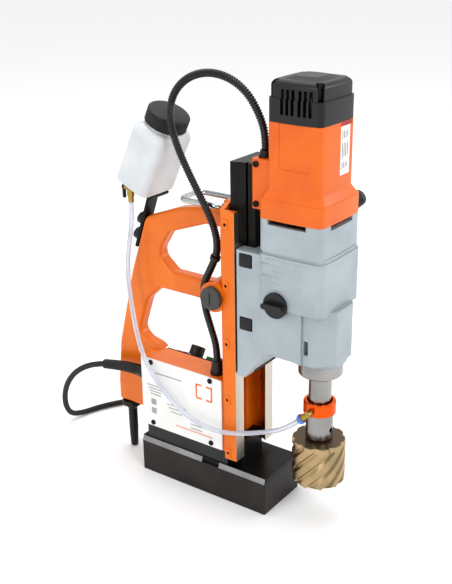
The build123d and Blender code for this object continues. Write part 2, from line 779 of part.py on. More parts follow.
def make_carriage_screws():
    """The bracket's side screws and the cap's four screws."""
    screws = []
    side_screw = pan_screw(screw_radius, 3.6, 2.4, 7)
    for side in (-1, 1):
        for height in bracket_screw_heights:
            screws.append(Pos(side * 31, slide_front - 6, height) * Rot(0, side * 90, 0) * side_screw)
    for x, y in cap_corners():
        screws.append(Pos(x, y, cap_top - 25) * pan_screw(screw_radius, 3.6, 2.6, 12))
    write(Compound([s.solids()[0] for s in screws]), "carriage_screws")


def ring_z(x, y, z0, z1, outer, inner):
    """An upright ring."""
    return rod_z(x, y, z0, z1, outer) - rod_z(x, y, z0 - 1, z1 + 1, inner)


lay_motor_distance = gear_module * (motor_teeth + lay_large_teeth) / 2
lay_spindle_distance = gear_module * (lay_small_teeth + spindle_teeth) / 2
axis_distance = motor_y - spindle_y
lay_back = (lay_motor_distance**2 - lay_spindle_distance**2 + axis_distance**2) / (2 * axis_distance)
lay_y = motor_y - lay_back
lay_x = sqrt(lay_motor_distance**2 - lay_back**2)


def make_rotors():
    """The motor's rotor, the layshaft and the spindle, with their gears and bearings."""
    armature = rod_z(0, motor_y, gear_high - 2, cap_top - 17, 4)
    armature += rod_z(0, motor_y, 366, 400, 5)
    armature += rod_z(0, motor_y, 424, 486, 18.5)
    armature += rod_z(0, motor_y, 494, 512, 12)
    fan = rod_z(0, motor_y, 401, 404, 26)
    for index in range(10):
        fan += Pos(0, motor_y, 0) * Rot(0, 0, 36 * index) * block(9, 25, -0.8, 0.8, 404, 413)
    armature += fan
    to_lay = degrees(atan2(lay_y - motor_y, lay_x))
    armature += gear_solid(motor_teeth, gear_module, gear_high - 2, gear_high + gear_width + 6, 0, motor_y, to_lay)
    write(armature, "armature")

    lay_gap = 180 / lay_large_teeth
    layshaft = rod_z(lay_x, lay_y, gear_low - 16, gear_high + gear_width + 4, 4)
    layshaft += gear_solid(lay_large_teeth, gear_module, gear_high, gear_high + gear_width, lay_x, lay_y, to_lay + 180 + lay_gap)
    to_spindle = degrees(atan2(spindle_y - lay_y, -lay_x))
    layshaft += gear_solid(lay_small_teeth, gear_module, gear_low - 2, gear_high, lay_x, lay_y, to_spindle)
    write(layshaft, "layshaft")

    spindle_gap = 180 / spindle_teeth
    spindle = rod_z(0, spindle_y, ring_bottom + 8, gear_low - 2, shaft_radius)
    spindle += rod_z(0, spindle_y, gear_low - 2, 331, 8)
    spindle += gear_solid(spindle_teeth, gear_module, gear_low, gear_low + gear_width, 0, spindle_y, to_spindle + 180 + spindle_gap)
    write(spindle, "spindle")

    gap = running_clearance
    rings = [
        ring_z(0, motor_y, cap_top - 23, cap_top - 17, 8, 4 + gap),
        ring_z(0, motor_y, case_top + 4, case_top + 11, 11, 5 + gap),
        ring_z(0, spindle_y, 231, 247, bearing_radius, shaft_radius + gap),
    ]
    write(Compound([r.solids()[0] for r in rings]), "bearings")
    stator = ring_z(0, motor_y, 430, 482, 29.5, 19.5)
    write(stator, "stator")


def make_tooling():
    """The nose collar, coolant ring, tool holder and annular cutter on the spindle."""
    collar = ring_z(0, spindle_y, collar_bottom, case_bottom - 8, collar_radius, shaft_radius + rotor_clearance)
    collar = fillet(collar.edges().group_by(Axis.Z)[0].sort_by(SortBy.RADIUS)[-1], 3)
    write(collar, "spindle_collar")

    neck = holder_radius - 1
    ring = ring_z(0, spindle_y, ring_bottom, ring_top, ring_radius, neck + running_clearance)
    ring = chamfer(ring.edges().group_by(Axis.Z)[-1].sort_by(SortBy.RADIUS)[-1], 1.5)
    ring -= rod_x(-ring_radius - 1, 0, spindle_y, elbow_z, 3)
    write(ring, "coolant_ring")

    holder = rod_z(0, spindle_y, holder_bottom, ring_bottom - 0.4, holder_radius)
    holder = chamfer(holder.edges().group_by(Axis.Z)[0], 3)
    holder += rod_z(0, spindle_y, ring_bottom - 1, ring_bottom + 8, neck)
    holder -= rod_z(0, spindle_y, holder_bottom - 1, holder_bottom + shank_length, shank_radius)
    holder -= rod_y(spindle_y - 30, spindle_y, 0, holder_bottom + 14, 3.5)
    write(holder, "tool_holder")

    cutter = rod_z(0, spindle_y, cutter_bottom, holder_bottom, cutter_radius)
    cutter -= rod_z(0, spindle_y, cutter_bottom - 1, holder_bottom - cutter_roof, cutter_radius - cutter_wall)
    cutter += rod_z(0, spindle_y, holder_bottom - 1, holder_bottom + shank_length - 1, shank_radius)
    for index in range(tooth_count):
        turn = Pos(0, spindle_y, 0) * Rot(0, 0, 360 / tooth_count * index)
        gullet = Pos(cutter_radius, 0, cutter_bottom) * Rot(45, 0, 0) * Box(cutter_wall * 4, 5, 5)
        cutter -= turn * gullet
    write(cutter, "annular_cutter")


elbow_z = 156.0


def make_selector():
    """The gear selector knob on the gearcase's side."""
    face_x = -case_half_width - 2.3
    knob = rod_x(face_x - 4, face_x, selector_y, selector_z, 15.5)
    knob = fillet(knob.edges().group_by(Axis.X)[0], 1.2)
    bar = rounded_block(face_x - 11, face_x - 3, selector_y - 14, selector_y + 14, selector_z - 3.5, selector_z + 3.5, 3, Axis.X)
    knob += bar
    knob += rod_x(face_x - 1, -37, selector_y, selector_z, selector_bore - running_clearance)
    write(knob, "gear_selector")


elbow_corner = Vector(-ring_radius - 7, spindle_y, elbow_z)
barb_direction = Vector(-0.18, 0.72, -0.67).normalized()


# ---------------------------------------------------------------- coolant
bottle_base = Vector(0, 109.0, 393.0)
bottle_frame = Pos(*bottle_base) * Rot(bottle_tilt, 0, 0)
neck_radius = 24.0
tap_x = -24.0
tap_y = 112.0


def make_bottle():
    """The coolant bottle on its bracket, its cap, tap and clamp screws."""
    half_x = bottle_width / 2
    half_y = bottle_depth / 2
    wall = bottle_wall
    body = rounded_block(-half_x, half_x, -half_y, half_y, 0, bottle_height, 13)
    body = fillet(body.edges().group_by(Axis.Z)[-1], 12)
    body = fillet(body.edges().group_by(Axis.Z)[0], 4)
    body += Pos(0, 0, bottle_height + 4) * Cylinder(neck_radius, 12)
    hollow = rounded_block(-half_x + wall, half_x - wall, -half_y + wall, half_y - wall, wall, bottle_height - wall, 11)
    hollow = fillet(hollow.edges().group_by(Axis.Z)[-1], 10)
    body -= hollow
    body -= Pos(0, 0, bottle_height + 4) * Cylinder(neck_radius - wall, 20)
    write(bottle_frame * body, "coolant_bottle")

    low = bottle_height + 3
    cap = Pos(0, 0, low + 9) * Cylinder(26.5, 18)
    cap = fillet(cap.edges().group_by(Axis.Z)[-1], 1.5)
    cap -= Pos(0, 0, bottle_height) * Cylinder(neck_radius + rotor_clearance, 20)
    write(bottle_frame * cap, "bottle_cap")

    plate = Pos(0, -half_y + 22, -1.5) * Box(36, 44, 3)
    bracket = bottle_frame * plate
    stem = stem_frame * block(-9, 9, 0, 4, -46, 34)
    bracket += stem
    screws = []
    for name, down in clamp_screws.items():
        place = stem_frame * Pos(0, 0, down)
        bracket -= place * rod_y(-1, 9, 0, 0, clamp_radius + rotor_clearance)
        head = rod_y(4.4, 12.4, 0, 0, 8)
        head = chamfer(head.edges().group_by(Axis.Y)[-1], 1)
        head += rod_y(-10, 5, 0, 0, clamp_radius)
        write(place * head, name)
    write(bracket, "bottle_bracket")

    bottom = 393.0 + (tap_y - 109.0) * tan(radians(bottle_tilt))
    tap = rod_z(tap_x, tap_y, tap_z - 14, tap_z + 10, 4.5)
    tap += rod_z(tap_x, tap_y, tap_z - 22, tap_z - 14, 3.6)
    tap += rod_y(tap_y, tap_y + 9, tap_x, tap_z - 4, 3)
    tap += rod_y(tap_y, tap_y + 12.5, tap_x, tap_z - 4, 1.5)
    tap -= bottle_frame * block(-99, 99, -99, 99, 0, 99)
    tap = tap.solids().sort_by(SortBy.VOLUME)[-1]
    write(tap, "coolant_tap")
    lever = block(tap_x - 2, tap_x + 2, tap_y + 9.4, tap_y + 12, tap_z - 18, tap_z)
    lever = fillet(lever.edges().filter_by(Axis.Y), 1.5)
    lever += rod_y(tap_y + 9.4, tap_y + 12, tap_x, tap_z - 4, 3.2)
    lever -= rod_y(tap_y, tap_y + 20, tap_x, tap_z - 4, 1.5 + running_clearance)
    write(lever, "tap_lever")


tap_z = 396.0


def make_hose_fitting():
    """The brass elbow that screws into the coolant ring."""
    elbow_x = elbow_corner.X
    elbow = rod_x(elbow_x, -ring_radius + 2, spindle_y, elbow_z, 2.9)
    elbow += rod_x(elbow_x - 3, -ring_radius - 0.5, spindle_y, elbow_z, 4.2)
    elbow += Sphere(4.2).moved(Pos(*elbow_corner))
    barb = Plane(origin=elbow_corner, z_dir=barb_direction)
    elbow += barb * Pos(0, 0, 5) * Cylinder(4.2, 10)
    elbow += barb * Pos(0, 0, 11) * Cylinder(5.2, 4)
    write(elbow, "hose_elbow")


# ---------------------------------------------------------------- ring for the safety strap
ring_hinge_y = -24.0
ring_hinge_z = 389.0


def make_strap_ring():
    """The chromed strap ring hinged at the column's top."""
    wire = strap_wire
    length = 62.0
    half = 20.0
    corner = 12.0
    outline = Rectangle(half * 2, length)
    outline = fillet(outline.vertices(), corner)
    path = outline.faces()[0].outer_wire()
    path = Pos(0, length / 2, 0) * path
    start = Plane(origin=path @ 0, z_dir=path % 0)
    ring = sweep(start * Circle(wire), path=path)
    write(Pos(0, ring_hinge_y, ring_hinge_z) * ring, "strap_ring")


# ---------------------------------------------------------------- cords
mains_route = [
    (gland_x, 170.0, 134.5),
    (gland_x, 192.0, 128.0),
    (gland_x, 214.0, 117.0),
    (-27.0, 235.0, 101.0),
    (-25.0, 252.0, 80.0),
    (-21.0, 264.0, 56.0),
    (-14.0, 271.0, 32.0),
    (-2.0, 274.0, 12.0),
    (20.0, 272.0, 4.3),
    (48.0, 263.0, 4.2),
    (78.0, 246.0, 4.3),
    (106.0, 223.0, 4.2),
    (131.0, 196.0, 4.3),
    (149.0, 165.0, 4.2),
    (158.0, 134.0, 4.3),
    (160.0, 103.0, 4.2),
]
conduit_route = [
    (boot_x, boot_y, 189.0),
    (boot_x, boot_y, 207.0),
    (-23.5, -8.0, 233.0),
    (-25.0, 0.0, 261.0),
    (-25.5, 0.0, 289.0),
    (-25.0, -12.0, 312.0),
    (-25.0, -22.0, 334.0),
    (-28.0, -23.0, 357.0),
    (-30.0, -14.0, 382.0),
    (-30.0, 2.0, 407.0),
    (-29.0, 19.0, 433.0),
    (-28.0, 34.0, 460.0),
    (-28.0, 43.0, 489.0),
    (-27.0, 37.0, 517.0),
    (-26.0, 17.0, 537.0),
    (-24.0, -10.0, 546.0),
    (-22.0, -38.0, 543.0),
    (-20.0, -62.0, 529.0),
    (-19.0, -78.0, 506.0),
    (-18.0, -86.0, 484.0),
    (-18.0, -86.0, 466.0),
]
hose_end = elbow_corner + barb_direction * 13
hose_lead = elbow_corner + barb_direction * 33
hose_route = [
    (tap_x, tap_y, tap_z - 22),
    (tap_x, tap_y, tap_z - 48),
    (-27.0, 117.0, 318.0),
    (-29.0, 120.0, 284.0),
    (-32.0, 115.0, 248.0),
    (-37.0, 105.0, 212.0),
    (-43.0, 91.0, 180.0),
    (-46.5, 70.0, 152.0),
    (-47.0, 43.0, 127.0),
    (-47.5, 12.0, 109.0),
    (-48.0, -22.0, 103.0),
    (-48.5, -56.0, 108.0),
    (-44.0, -87.0, 117.0),
    (-37.5, -111.0, 124.0),
    tuple(hose_lead),
    tuple(hose_end),
]


def make_cords():
    """The mains lead with its gland and plug, the conduit with its ends, and the hose."""
    thread = rod_y(box_rear - 8, box_rear, gland_x, gland_z, gland_thread_radius - 0.05)
    flange = rod_y(box_rear, box_rear + 3, gland_x, gland_z, 9.5)
    nut = Pos(gland_x, box_rear + 3, gland_z) * Rot(-90, 0, 0) * extrude(RegularPolygon(8.2, 6), 9)
    gland = thread + flange + nut - rod_y(box_rear - 9, box_rear + 13, gland_x, gland_z, 4.3)
    write(gland, "cable_gland")

    start = Vector(gland_x, box_rear + 12, gland_z)
    end = Vector(*mains_route[0])
    middle = Vector(gland_x, (start.Y + end.Y) / 2, gland_z - 2.2)
    path = Spline(start, middle, end, tangents=[(0, 1, 0), Vector(*mains_route[1]) - end])
    big = Plane(origin=start, z_dir=(0, 1, 0)) * Circle(7.0)
    small = Plane(origin=end, z_dir=Vector(*mains_route[1]) - end) * Circle(4.8)
    middle_plane = Plane(origin=middle, z_dir=path % 0.5)
    relief = loft([big, middle_plane * Circle(6.2), small])
    write(relief, "strain_relief")
    write(tangent_tube(mains_route, cord_diameter), "mains_cord")

    across = coil_turns_across * cord_diameter / 2
    high = coil_layers * cord_diameter
    hank = ring_z(coil_x, coil_y, 0.2, high, coil_mean_radius + across, coil_mean_radius - across)
    write(hank, "mains_coil")
    make_plug(high)

    boot = rod_z(boot_x, boot_y, box_top - 7, box_top, boot_thread_radius - 0.05)
    boot += rod_z(boot_x, boot_y, box_top, box_top + 4, 9)
    boot += Pos(boot_x, boot_y, box_top + 11.5) * Cone(8, 6.6, 15)
    write(boot, "conduit_boot")
    end = conduit_route[-1]
    fitting = rod_z(end[0], end[1], 458, 461, 8)
    fitting += rod_z(end[0], end[1], 461, end[2], 6.2)
    write(fitting, "conduit_fitting")
    write(tangent_tube(conduit_route, conduit_diameter), "conduit")
    write(tangent_tube(hose_route, hose_diameter), "coolant_hose")


coil_x = 106.0
coil_y = 78.0
plug_turn = 20.0


def make_plug(floor):
    """The moulded mains plug lying on the coil."""
    body = rounded_block(-13, 13, -19, 15, 0, 20, 6, Axis.Y)
    body = fillet(body.edges().group_by(Axis.Y)[0], 3)
    tail = Pos(0, 25, 10) * Rot(-90, 0, 0) * Cone(6.5, 4.6, 20)
    plug = body + tail
    for x, z in ((-6.5, 10), (6.5, 10)):
        plug += rod_y(-37, -19, x, z, 2.4)
    write(Pos(coil_x, coil_y, floor) * Rot(0, 0, plug_turn) * plug, "mains_plug")


# ---------------------------------------------------------------- build
make_magnet()
make_base_plate()
make_edge_strips()
make_riser()
make_rails()
make_gibs()
make_stand_casting()
make_handle()
make_side_panel()
make_stand_screws()
make_control_side()
make_support_foot()
make_feed()
make_slide()
make_gearcase()
make_gearcase_cover()
make_motor_housing()
make_motor_cap()
make_carriage_screws()
make_rotors()
make_tooling()
make_selector()
make_bottle()
make_hose_fitting()
make_strap_ring()
make_cords()
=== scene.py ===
import logging
from dataclasses import dataclass, field
from enum import Enum
from math import atan2, cos, pi, radians, sin, sqrt

import bpy
from mathutils import Matrix, Vector


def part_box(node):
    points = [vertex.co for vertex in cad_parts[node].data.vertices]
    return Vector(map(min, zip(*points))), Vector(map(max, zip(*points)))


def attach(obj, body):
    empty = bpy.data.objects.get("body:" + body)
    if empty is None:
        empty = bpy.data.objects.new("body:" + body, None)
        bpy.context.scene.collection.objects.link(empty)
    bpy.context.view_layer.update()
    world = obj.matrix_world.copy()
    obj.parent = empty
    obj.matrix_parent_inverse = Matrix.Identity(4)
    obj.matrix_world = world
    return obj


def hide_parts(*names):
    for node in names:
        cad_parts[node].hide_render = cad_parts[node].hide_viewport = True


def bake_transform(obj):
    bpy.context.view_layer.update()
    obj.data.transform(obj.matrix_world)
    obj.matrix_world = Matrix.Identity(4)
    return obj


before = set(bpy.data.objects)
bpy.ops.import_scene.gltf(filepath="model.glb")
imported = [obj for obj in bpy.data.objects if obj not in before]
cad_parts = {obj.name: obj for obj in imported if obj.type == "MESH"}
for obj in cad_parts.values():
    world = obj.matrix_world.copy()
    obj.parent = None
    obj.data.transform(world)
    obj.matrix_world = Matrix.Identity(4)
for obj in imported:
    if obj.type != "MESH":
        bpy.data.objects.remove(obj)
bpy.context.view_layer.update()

LOG = logging.getLogger("drill_press")
MM = 0.001
Point = tuple[float, float, float]


# ------------------------------------------------------------------ finishes
def linear(hex_colour: str) -> tuple[float, float, float, float]:
    """Turns an sRGB hex value into linear colour.

    Args:
        hex_colour: six hex digits.

    Returns:
        Red, green, blue and an alpha of one.
    """
    values = [int(hex_colour[i:i + 2], 16) / 255 for i in (0, 2, 4)]
    flat = [v / 12.92 if v <= 0.04045 else ((v + 0.055) / 1.055) ** 2.4 for v in values]
    return (flat[0], flat[1], flat[2], 1.0)


def add_node(tree, kind: str, inputs: dict | None = None, links: dict | None = None, **settings):
    """Adds one shader node with its settings, socket values and links.

    Args:
        tree: the node tree it goes into.
        kind: the node's type name.
        inputs: socket name or number to a fixed value.
        links: socket name or number to the output it reads.
        settings: the node's own settings.

    Returns:
        The new node.
    """
    node = tree.nodes.new(kind)
    for name, value in settings.items():
        setattr(node, name, value)
    for socket, value in (inputs or {}).items():
        node.inputs[socket].default_value = value
    for socket, source in (links or {}).items():
        tree.links.new(source, node.inputs[socket])
    return node


class Grain(Enum):
    """How a surface was made, which sets the direction of its fine marks."""

    EVEN = (1.0, 1.0, 1.0)
    TURNED = (0.06, 0.06, 1.0)
    GROUND_UP = (1.0, 1.0, 0.03)
    GROUND_ALONG = (1.0, 0.03, 1.0)


@dataclass(frozen=True)
class Finish:
    """One real material with the way its surface was made."""

    name: str
    colour: str
    shade: str
    roughness: float
    spread: float = 0.08
    metallic: float = 0.0
    ior: float = 1.5
    grain: Grain = Grain.EVEN
    grain_mm: float = 1.2
    relief_mm: float = 0.03
    mottle_mm: float = 45.0
    # A lighter colour painted on rounded edges: a painted edge highlight, which on the black steels also stands for
    # rubbed wear.
    edge_highlight_and_wear_colour: str = ""
    edge_highlight_and_wear_amount: float = 0.35
    round_mm: float = 0.5
    coat: float = 0.0
    see_through: float = 0.0
    scatter: float = 0.0

    def build(self) -> bpy.types.Material:
        """Builds the finish's material.

        Returns:
            The material, made once and then shared.
        """
        if self.name in bpy.data.materials:
            return bpy.data.materials[self.name]
        material = bpy.data.materials.new(self.name)
        material.use_nodes = True
        tree = material.node_tree
        shader = tree.nodes["Principled BSDF"]
        shader.inputs["Metallic"].default_value = self.metallic
        if self.metallic < 0.5:
            shader.inputs["IOR"].default_value = self.ior
        shader.inputs["Coat Weight"].default_value = self.coat
        shader.inputs["Coat Roughness"].default_value = 0.12
        shader.inputs["Transmission Weight"].default_value = self.see_through
        if self.scatter > 0:
            shader.inputs["Subsurface Weight"].default_value = self.scatter
            shader.inputs["Subsurface Radius"].default_value = (0.02, 0.02, 0.02)
            shader.inputs["Subsurface Scale"].default_value = 0.6
        place = add_node(tree, "ShaderNodeTexCoord").outputs["Object"]
        colour = self.paint(tree, place)
        rounded = add_node(tree, "ShaderNodeBevel", {"Radius": self.round_mm * MM}, samples=4)
        # Rounded edges get a lighter colour: a painted edge highlight, which on the black steels also stands for
        # rubbed wear.
        if self.edge_highlight_and_wear_colour:
            flat = add_node(tree, "ShaderNodeNewGeometry")
            alike = add_node(tree, "ShaderNodeVectorMath", operation="DOT_PRODUCT",
                             links={0: rounded.outputs[0], 1: flat.outputs["Normal"]})
            edge_highlight_and_wear_mask = add_node(tree, "ShaderNodeMapRange", {1: 0.97, 2: 0.80, 3: 0.0, 4: self.edge_highlight_and_wear_amount},
                            {0: alike.outputs["Value"]})
            colour = add_node(tree, "ShaderNodeMixRGB", {2: linear(self.edge_highlight_and_wear_colour)},
                              {0: edge_highlight_and_wear_mask.outputs[0], 1: colour}).outputs[0]
        tree.links.new(colour, shader.inputs["Base Color"])
        marks = self.marks(tree, place)
        rough = add_node(tree, "ShaderNodeMapRange",
                         {3: max(0.02, self.roughness - self.spread), 4: self.roughness + self.spread}, {0: marks})
        tree.links.new(rough.outputs[0], shader.inputs["Roughness"])
        bump = add_node(tree, "ShaderNodeBump", {"Strength": 0.6, "Distance": self.relief_mm * MM},
                        {"Height": self.relief(tree, place, marks), "Normal": rounded.outputs[0]})
        tree.links.new(bump.outputs[0], shader.inputs["Normal"])
        return material

    def paint(self, tree, place):
        """Adds the slow colour change; returns the colour output."""
        noise = add_node(tree, "ShaderNodeTexNoise", {"Scale": 1000 / self.mottle_mm, "Detail": 3.0},
                         {"Vector": place})
        shift = add_node(tree, "ShaderNodeMapRange", {1: 0.35, 2: 0.65}, {0: noise.outputs["Fac"]})
        mix = add_node(tree, "ShaderNodeMixRGB", {1: linear(self.colour), 2: linear(self.shade)},
                       {0: shift.outputs[0]})
        return mix.outputs[0]

    def marks(self, tree, place):
        """Adds the fine marks of the surface's making; returns their value."""
        turned = add_node(tree, "ShaderNodeMapping", {"Scale": self.grain.value}, {"Vector": place})
        noise = add_node(tree, "ShaderNodeTexNoise", {"Scale": 1000 / self.grain_mm, "Detail": 4.0},
                         {"Vector": turned.outputs[0]})
        return noise.outputs["Fac"]

    def relief(self, tree, place, marks):
        """Returns the height that the bump reads; a plain finish has only its marks."""
        return marks


@dataclass(frozen=True)
class SplitFinish(Finish):
    """A finish that gives way to a second one past a level plane of the piece."""

    axis: int = 2
    limit_mm: float = 0.0
    past_above: bool = True
    other_colour: str = "808080"
    other_metallic: float = 0.0

    def paint(self, tree, place):
        """Adds both colours and the second one's metal; returns the colour output."""
        first = super().paint(tree, place)
        where = add_node(tree, "ShaderNodeSeparateXYZ", links={0: place})
        sort = "GREATER_THAN" if self.past_above else "LESS_THAN"
        past = add_node(tree, "ShaderNodeMath", {1: self.limit_mm * MM}, {0: where.outputs[self.axis]},
                        operation=sort)
        metal = add_node(tree, "ShaderNodeMapRange", {3: self.metallic, 4: self.other_metallic},
                         {0: past.outputs[0]})
        tree.links.new(metal.outputs[0], tree.nodes["Principled BSDF"].inputs["Metallic"])
        mix = add_node(tree, "ShaderNodeMixRGB", {2: linear(self.other_colour)}, {0: past.outputs[0], 1: first})
        return mix.outputs[0]


class Finishes:
    """Every finish on the machine."""

    # Powder-coated aluminium: a bright orange skin with a faint orange-peel texture, a soft gloss and a painted
    # highlight on its edges.
    ORANGE_POWDER = Finish("powder_coat_orange", "E27405", "DA6A03", 0.34, 0.06, grain_mm=1.6, relief_mm=0.05,
                           edge_highlight_and_wear_colour="FF9A4A", coat=0.15)
    # The rails: orange powder coat with their front faces ground bare.
    RAIL = SplitFinish("powder_coat_rail", "E27405", "DA6A03", 0.34, 0.06, grain_mm=1.6, relief_mm=0.04,
                       edge_highlight_and_wear_colour="FF9A4A", axis=1, limit_mm=-57.9, past_above=False, other_colour="C9C2B6",
                       other_metallic=1.0)
    # The gibs: brass with ground steel front edges.
    GIB = SplitFinish("brass_gib", "B69A55", "A58A48", 0.30, 0.08, metallic=1.0, grain=Grain.GROUND_UP,
                      grain_mm=0.8, relief_mm=0.01, axis=1, limit_mm=-57.9, past_above=False,
                      other_colour="C9C2B6", other_metallic=1.0)
    # Moulded ABS: the motor's orange shell, slightly glossier and redder, with fine mould texture.
    ORANGE_ABS = Finish("moulded_abs_orange", "DE6904", "D66002", 0.36, 0.06, grain_mm=0.8, relief_mm=0.03,
                        edge_highlight_and_wear_colour="FF8E45", ior=1.53)
    # Painted die-cast aluminium: silver-grey, satin, with a fine sand texture.
    GREY_CASTING = Finish("painted_casting_grey", "A7B1B6", "9CA6AB", 0.42, 0.07, metallic=0.15, grain_mm=1.1,
                          relief_mm=0.05, edge_highlight_and_wear_colour="D5DBDE")
    # Blackened steel: near black, oily sheen, lighter on its edges, which is rubbed wear and a painted edge
    # highlight.
    BLACK_STEEL = Finish("black_oxide_steel", "141313", "1B1A19", 0.38, 0.10, metallic=0.55, grain_mm=0.9,
                         grain=Grain.GROUND_ALONG, edge_highlight_and_wear_colour="5A5754")
    # Ground steel of the magnet's shell: dark and warm, with its grinding marks along the foot.
    MAGNET_STEEL = Finish("ground_magnet_steel", "383331", "2C2928", 0.42, 0.10, metallic=0.5, grain_mm=0.9,
                          grain=Grain.GROUND_ALONG, edge_highlight_and_wear_colour="77716C")
    # Black anodised spacer: matt and a little blue.
    DARK_SPACER = Finish("black_anodised_spacer", "2A2B2D", "323335", 0.45, 0.08, metallic=0.3,
                         edge_highlight_and_wear_colour="6A6A6C")
    # Moulded glass-filled nylon: black, fine spark-eroded texture.
    BLACK_ABS = Finish("moulded_black_nylon", "0B0B0C", "101011", 0.40, 0.08, grain_mm=0.7, relief_mm=0.05,
                       edge_highlight_and_wear_colour="3C3C3D", ior=1.53)
    # Corrugated polyamide tube: black and glossy, its ribs kept crisp.
    CONDUIT_PA = Finish("corrugated_polyamide", "070708", "0C0C0D", 0.30, 0.06, grain_mm=0.7, relief_mm=0.02,
                        round_mm=0.05, ior=1.53)
    # Moulded acetal: a mid grey cover disc.
    HUB_GREY = Finish("moulded_acetal_grey", "474746", "3E3E3D", 0.34, 0.07, grain_mm=0.9, relief_mm=0.03,
                      edge_highlight_and_wear_colour="A8A8A6", ior=1.48)
    # Vulcanised rubber: black, dull.
    RUBBER = Finish("vulcanised_rubber", "0B0B0B", "101010", 0.55, 0.08, grain_mm=0.8, relief_mm=0.04, ior=1.52)
    # Chromium plate: mirror-like with faint turning marks.
    CHROME = Finish("chromium_plate", "C2C4C6", "AFB2B5", 0.13, 0.04, metallic=1.0, grain=Grain.TURNED,
                    grain_mm=0.7, relief_mm=0.01)
    # Ground tool steel: bright, with fine upright marks.
    GROUND_STEEL = Finish("ground_steel", "B9B4AD", "A39E98", 0.28, 0.08, metallic=1.0, grain=Grain.GROUND_UP,
                          grain_mm=0.7, relief_mm=0.01)
    # Turned steel: satin, ringed with fine tool marks.
    SATIN_STEEL = Finish("turned_satin_steel", "A3A2A0", "8E8D8B", 0.24, 0.08, metallic=1.0, grain=Grain.TURNED,
                         grain_mm=0.7, relief_mm=0.02)
    # Zinc-plated steel: soft grey with a slight blue cast.
    ZINC = Finish("zinc_plate", "A2A3A2", "8E908F", 0.34, 0.08, metallic=0.9, grain_mm=0.8, relief_mm=0.01)
    # Rolled brass: dull gold, marked along its length.
    BRASS = Finish("rolled_brass", "B69A55", "A58A48", 0.30, 0.08, metallic=1.0, grain=Grain.GROUND_UP,
                   grain_mm=0.8, relief_mm=0.01)
    # Titanium-nitride coat on tool steel: pale gold-brown, turning dark brown above 112.4 mm as painted shade on the
    # cutter's top face.
    GOLD_COAT_SHADED_TOP = SplitFinish("titanium_nitride_coat_shaded_top", "B8A07A", "9C8B6B", 0.30, 0.08, metallic=1.0, grain=Grain.TURNED,
                            grain_mm=0.9, relief_mm=0.01, edge_highlight_and_wear_colour="E6D8B8", axis=2, limit_mm=112.4,
                            other_colour="64523F", other_metallic=0.7)
    # Anodised aluminium: vivid orange metal.
    ANODISED = Finish("anodised_aluminium_orange", "F06A20", "E05A15", 0.26, 0.05, metallic=0.8,
                      grain=Grain.TURNED, grain_mm=0.8, relief_mm=0.01, edge_highlight_and_wear_colour="FFB98A")
    # Blow-moulded polyethylene: milky white and slightly see-through, with a waxy sheen.
    MILKY_PE = Finish("blown_polyethylene_milky", "DADEE1", "CCD1D5", 0.36, 0.05, grain_mm=2.5, relief_mm=0.06,
                      edge_highlight_and_wear_colour="F4F6F7", scatter=0.2, ior=1.51)
    # Clear PVC tube: colourless with a cool cast.
    CLEAR_PVC = Finish("clear_pvc_tube", "E6EAF4", "DDE2EF", 0.12, 0.04, grain_mm=3.0, relief_mm=0.02,
                       see_through=0.55, ior=1.53)
    # Screen-printed aluminium sheet: white, satin.
    WHITE_SHEET = Finish("painted_sheet_white", "EDEDEB", "E6E6E4", 0.34, 0.05, grain_mm=1.4, relief_mm=0.02,
                         edge_highlight_and_wear_colour="FFFFFF", coat=0.1)
    # Screen ink: grey.
    GREY_INK = Finish("screen_ink_grey", "A4A5A8", "98999C", 0.5, 0.05)
    # Screen ink: orange.
    ORANGE_INK = Finish("screen_ink_orange", "F07A22", "EA7018", 0.5, 0.05)
    # Paper label under a clear film.
    LABEL = Finish("label_film_white", "ECEDEC", "E2E3E3", 0.30, 0.04, coat=0.2)
    # Black label ink.
    BLACK_INK = Finish("label_ink_black", "3A3A3C", "303032", 0.5, 0.05)
    # Moulded acetal: blue release collar.
    BLUE_ACETAL = Finish("moulded_acetal_blue", "4F86DD", "4478CC", 0.30, 0.05, ior=1.48)
    RED_ACRYLIC = Finish("moulded_acrylic_red", "B5161A", "A01216", 0.25, 0.05)
    GREEN_ACRYLIC = Finish("moulded_acrylic_green", "1E7A35", "1A6C2F", 0.25, 0.05)
    COPPER = Finish("enamelled_copper", "9A4A22", "874019", 0.35, 0.08, metallic=0.9, grain_mm=0.9)
    RESIN = Finish("cast_epoxy_resin", "1D1B1B", "262423", 0.30, 0.08, grain_mm=3.0)
    BOARD = Finish("lacquered_board_green", "1E5A34", "184C2B", 0.35, 0.08)
    LAMINATION = Finish("stacked_steel_sheet", "7D7F82", "6C6E71", 0.35, 0.08, metallic=0.9,
                        grain=Grain.TURNED, grain_mm=0.6)


